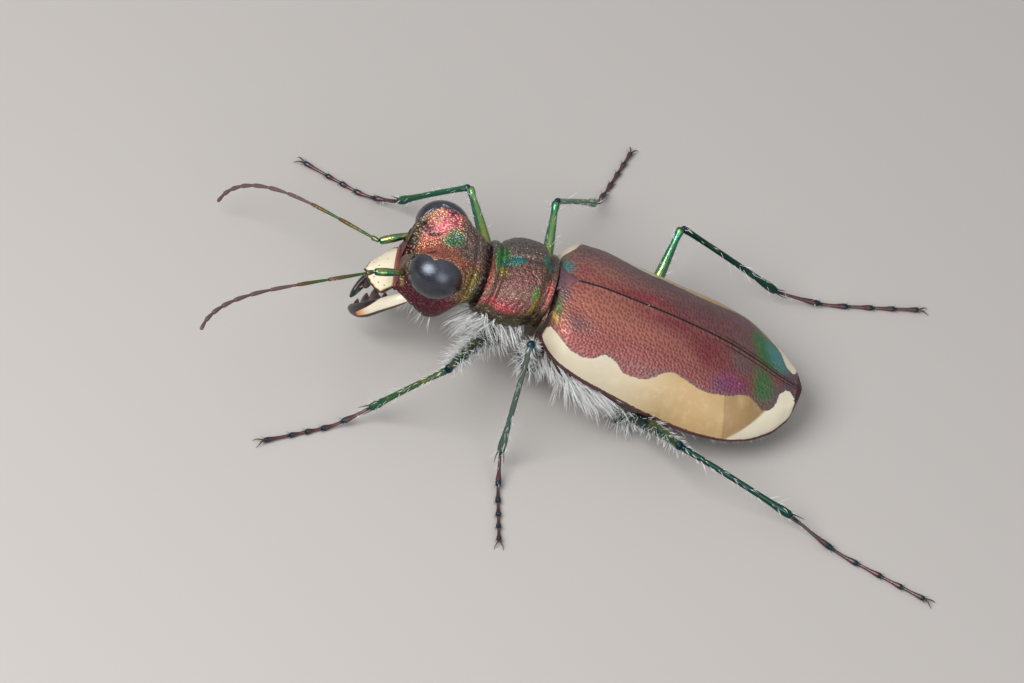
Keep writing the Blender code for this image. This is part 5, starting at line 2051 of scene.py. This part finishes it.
@dataclass(frozen=True)
class Fur:
    """White hairs: dense below, on the trunk's sides and the thighs, sparse on shins, feelers and cheeks.

    Each coat draws from its own random generator, started from the seed and a small number.
    """

    seed: int = 20240

    def dress_trunk(self, grounds: dict[str, Ground]) -> None:
        """Grow the coats of the shield's sides and of the segments behind it.

        A coat has its name, its thickness and its stretches. A stretch has its solid, the number of hairs,
        the shares of its rows and of the left side's columns, the lengths of the hairs, and how far they
        lean outwards, back and up.

        Args:
            grounds: the skins, by solid.
        """
        coats = (
            ("coat_shield", 0.011, (
                ("prothorax", 175, (0.0, 0.36), (0.09, 0.19), (0.55, 1.05), (0.35, -0.7, -0.3)),
                ("prothorax", 105, (0.2, 0.8), (0.08, 0.18), (0.45, 0.85), (0.4, 0.55, -0.5)),
                ("prothorax", 60, (0.1, 0.95), (0.06, 0.22), (0.2, 0.45), (0.4, 0.1, -0.5)))),
            ("coat_thorax", 0.01, (
                ("mesothorax", 90, (0.05, 1.0), (0.08, 0.22), (0.35, 0.7), (0.3, 0.6, -0.45)),
                ("mesothorax", 90, (0.2, 1.0), (0.17, 0.245), (0.4, 0.75), (0.25, 0.9, -0.35)),
                ("metathorax", 350, (0.0, 0.4), (0.16, 0.245), (0.6, 1.1), (0.16, 1.0, -0.34)),
                ("metathorax", 160, (0.6, 1.0), (0.08, 0.2), (0.25, 0.5), (0.3, 0.8, -0.4)))),
            ("coat_abdomen", 0.008, (
                ("abdomen", 320, (0.0, 0.9), (0.03, 0.2), (0.12, 0.28), (0.1, 1.0, -0.2)),)))
        for number, (name, thickness, stretches) in enumerate(coats):
            coat = Coat(name, self.seed + number, thickness)
            for side in SIDES.values():
                for node, amount, rows, (low, high), lengths, (out, back, up) in stretches:
                    columns = (low, high) if side > 0 else (1 - high, 1 - low)
                    lean = (out * side, back, up)
                    coat.spread(grounds[node], amount, rows, lengths, lean, 0.25, columns, 0.2, tuft=3)
            coat.build()

    def dress_head(self, head: Ground) -> None:
        """Grow the few hairs of the cheeks and the throat.

        Args:
            head: the capsule's skin.
        """
        coat = Coat("coat_head", self.seed + 3, 0.006)
        for columns in ((0.34, 0.47), (0.53, 0.66)):
            coat.spread(head, 46, (0.22, 0.62), (0.3, 0.55), (0, -0.25, -0.9), 0.35, columns, 0.18)
        coat.build()

    def dress_feeler(self, feeler: Feeler, joints: Sequence[Ground]) -> None:
        """Grow short hairs on the first joints of a feeler.

        Args:
            feeler: the feeler.
            joints: the skins of its joints.
        """
        coat = Coat(f"coat_feeler_{feeler.word}", self.seed + 4 + SIDES[feeler.word], 0.005)
        for joint in joints[:5]:
            coat.spread(joint, 10, (0.15, 0.98), (0.05, 0.11), (0, -0.4, 0.0), 0.7)
        coat.build()

    def dress_leg(self, leg: Leg, skins: dict[str, Ground], number: int) -> None:
        """Grow the coat of one leg.

        Args:
            leg: the leg.
            skins: the skins of its joints.
            number: its number, for the coat's random numbers.
        """
        coat = Coat(f"coat_leg_{leg.name}", self.seed + 10 + number, 0.009)
        down = unit(leg.grounded(leg.ankle) - leg.grounded(leg.knee))
        out = unit(leg.grounded(leg.knee) - STANCE.placed(leg.hip))
        thigh, shin = (330, 150) if leg.femur_kind is Finish.FEMUR else (70, 60)
        coat.spread(skins["coxa"], 260, (0.15, 0.8), (0.25, 0.5), (0, 0.1, -0.5), 0.6)
        coat.spread(skins["femur"], thigh, (0.03, 0.9), (0.14, 0.34), out * 0.7, 0.6, thickness=0.008)
        coat.spread(skins["tibia"], shin, (0.04, 0.97), (0.1, 0.2), down * 0.9, 0.5, thickness=0.006)
        coat.spread(skins["tibia"], 9, (0.2, 0.97), (0.35, 0.6), down * 0.7, thickness=0.005)
        coat.spread(skins["tarsus"], 16, (0.1, 0.97), (0.06, 0.12), down * 0.3, 0.7, thickness=0.006)
        if leg.name == "front_left":
            coat.spread(skins["femur"], 260, (0.0, 0.75), (0.3, 0.6), (0.35, -0.9, -0.25), 0.3)
        coat.build()


# ---- studio

@dataclass(frozen=True)
class Studio:
    """Plain pale floor, soft overhead light and the camera."""

    right: Triple = (-0.0961, 0.9762, 0.1949)
    up: Triple = (-0.7184, -0.2035, 0.6652)
    back: Triple = (0.689, -0.0761, 0.7207)
    lens: float = 307.6
    distance: float = 250.0
    aside: Pair = (-0.838, -1.105)
    floor_half: float = 3.0
    aim_height: float = 2.5
    daylight: float = 0.6
    sky: tuple[tuple[float, Triple], ...] = (
        (0.0, (0.3, 0.29, 0.28)), (0.45, (0.62, 0.63, 0.66)), (1.0, (1.0, 1.02, 1.06)))
    lamps: tuple[tuple[str, Triple, float, float, float, Triple], ...] = (
        ("key", (0.44, -0.53, 0.73), 110, 80, 0.13, (0.96, 0.98, 1.0)),
        ("fill", (0.9, 0.5, 0.5), 130, 90, 0.05, (0.92, 0.96, 1.0)))

    def over_origin(self, height: float) -> Vector:
        """Point over the trunk's spot on the floor, in metres, from its height in millimetres."""
        return Vector(ORIGIN * MM) + Vector((0.0, 0.0, height * MM))

    def build_floor(self) -> None:
        """Lay the floor."""
        mesh = bpy.data.meshes.new("floor")
        corners = np.array(((-1, -1, 0), (1, -1, 0), (1, 1, 0), (-1, 1, 0))) * self.floor_half
        mesh.from_pydata(corners.tolist(), [], [(0, 1, 2, 3)])
        mesh.materials.append(bpy.data.materials.new("floor"))
        shader = Shader(mesh.materials[0])
        colour = shader.mix(shader.noise(0.02, 3.0), (0.44, 0.408, 0.378), (0.465, 0.433, 0.403))
        shader.dress(Base_Color=colour, Roughness=0.75, Specular_IOR_Level=0.2)
        linked("floor", mesh)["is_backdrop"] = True

    def build_world(self) -> None:
        """Light everything softly, more from above than from the sides."""
        world = bpy.data.worlds.new("studio")
        shader = Shader(world)
        up = shader.axes(shader.node("ShaderNodeTexCoord", output="Generated"))[2]
        light = world.node_tree.nodes["Background"].inputs
        shader.feed(light["Color"], shader.node("ShaderNodeValToRGB", {"stops": self.sky}, {0: up}))
        shader.feed(light["Strength"], self.daylight)
        bpy.context.scene.world = world

    def build_lamps(self) -> None:
        """Hang the round lamps, which look at the beetle.

        Each has a name, the direction towards it, its distance, its size, its power and its colour.
        """
        for name, way, distance, size, watts, colour in self.lamps:
            data = bpy.data.lights.new(name, "AREA")
            data.shape = "DISK"
            data.size = size * MM
            data.energy = watts
            data.color = colour
            lamp = linked(name, data)
            direction = Vector(way).normalized()
            lamp.location = self.over_origin(self.aim_height) + direction * distance * MM
            lamp.rotation_euler = direction.to_track_quat("Z", "Y").to_euler()

    def build_camera(self) -> None:
        """Set the camera."""
        data = bpy.data.cameras.new("camera")
        data.sensor_width = 36.0
        data.lens = self.lens
        data.clip_start = 0.01
        data.clip_end = 10.0
        camera = linked("camera", data)
        right, up, back = (Vector(axis) for axis in (self.right, self.up, self.back))
        spot = self.over_origin(STANCE.margin_height)
        spot += (right * self.aside[0] + up * self.aside[1] + back * self.distance) * MM
        camera.matrix_world = Matrix.Translation(spot) @ Matrix((right, up, back)).transposed().to_4x4()
        bpy.context.scene.camera = camera

    def build(self) -> None:
        """Set up the whole studio."""
        self.build_floor()
        self.build_world()
        self.build_lamps()
        self.build_camera()
        bpy.context.scene.view_settings.view_transform = "Standard"


# ---- everything

def write_sizes() -> None:
    """Work out the solids' box and the finished model's box."""
    boxes = {"cad": SOLID_BOX, "visual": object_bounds()}
    boxes = {name: [list(corner) for corner in box] for name, box in boxes.items()}


def main() -> None:
    """Build the beetle piece by piece, then the studio."""
    logging.basicConfig(level=logging.INFO, format="%(message)s")
    fur = Fur()
    WingCases().build()
    Scutellum().build()
    grounds = {"prothorax": Pronotum().build(), **Underside().build()}
    head = Head().build()
    Head().build_eyes()
    mouth = Mouth()
    mouth.build_clypeus()
    mouth.build_lip()
    mouth.build_jaws()
    mouth.build_palps()
    feelers = [feeler.build() for feeler in FEELERS]
    for number, leg in enumerate(LEGS):
        fur.dress_leg(leg, leg.build(), number)
    fur.dress_trunk(grounds)
    fur.dress_head(head)
    for feeler, joints in zip(FEELERS, feelers):
        fur.dress_feeler(feeler, joints)
    Studio().build()
    write_sizes()


if __name__ == "__main__":
    main()
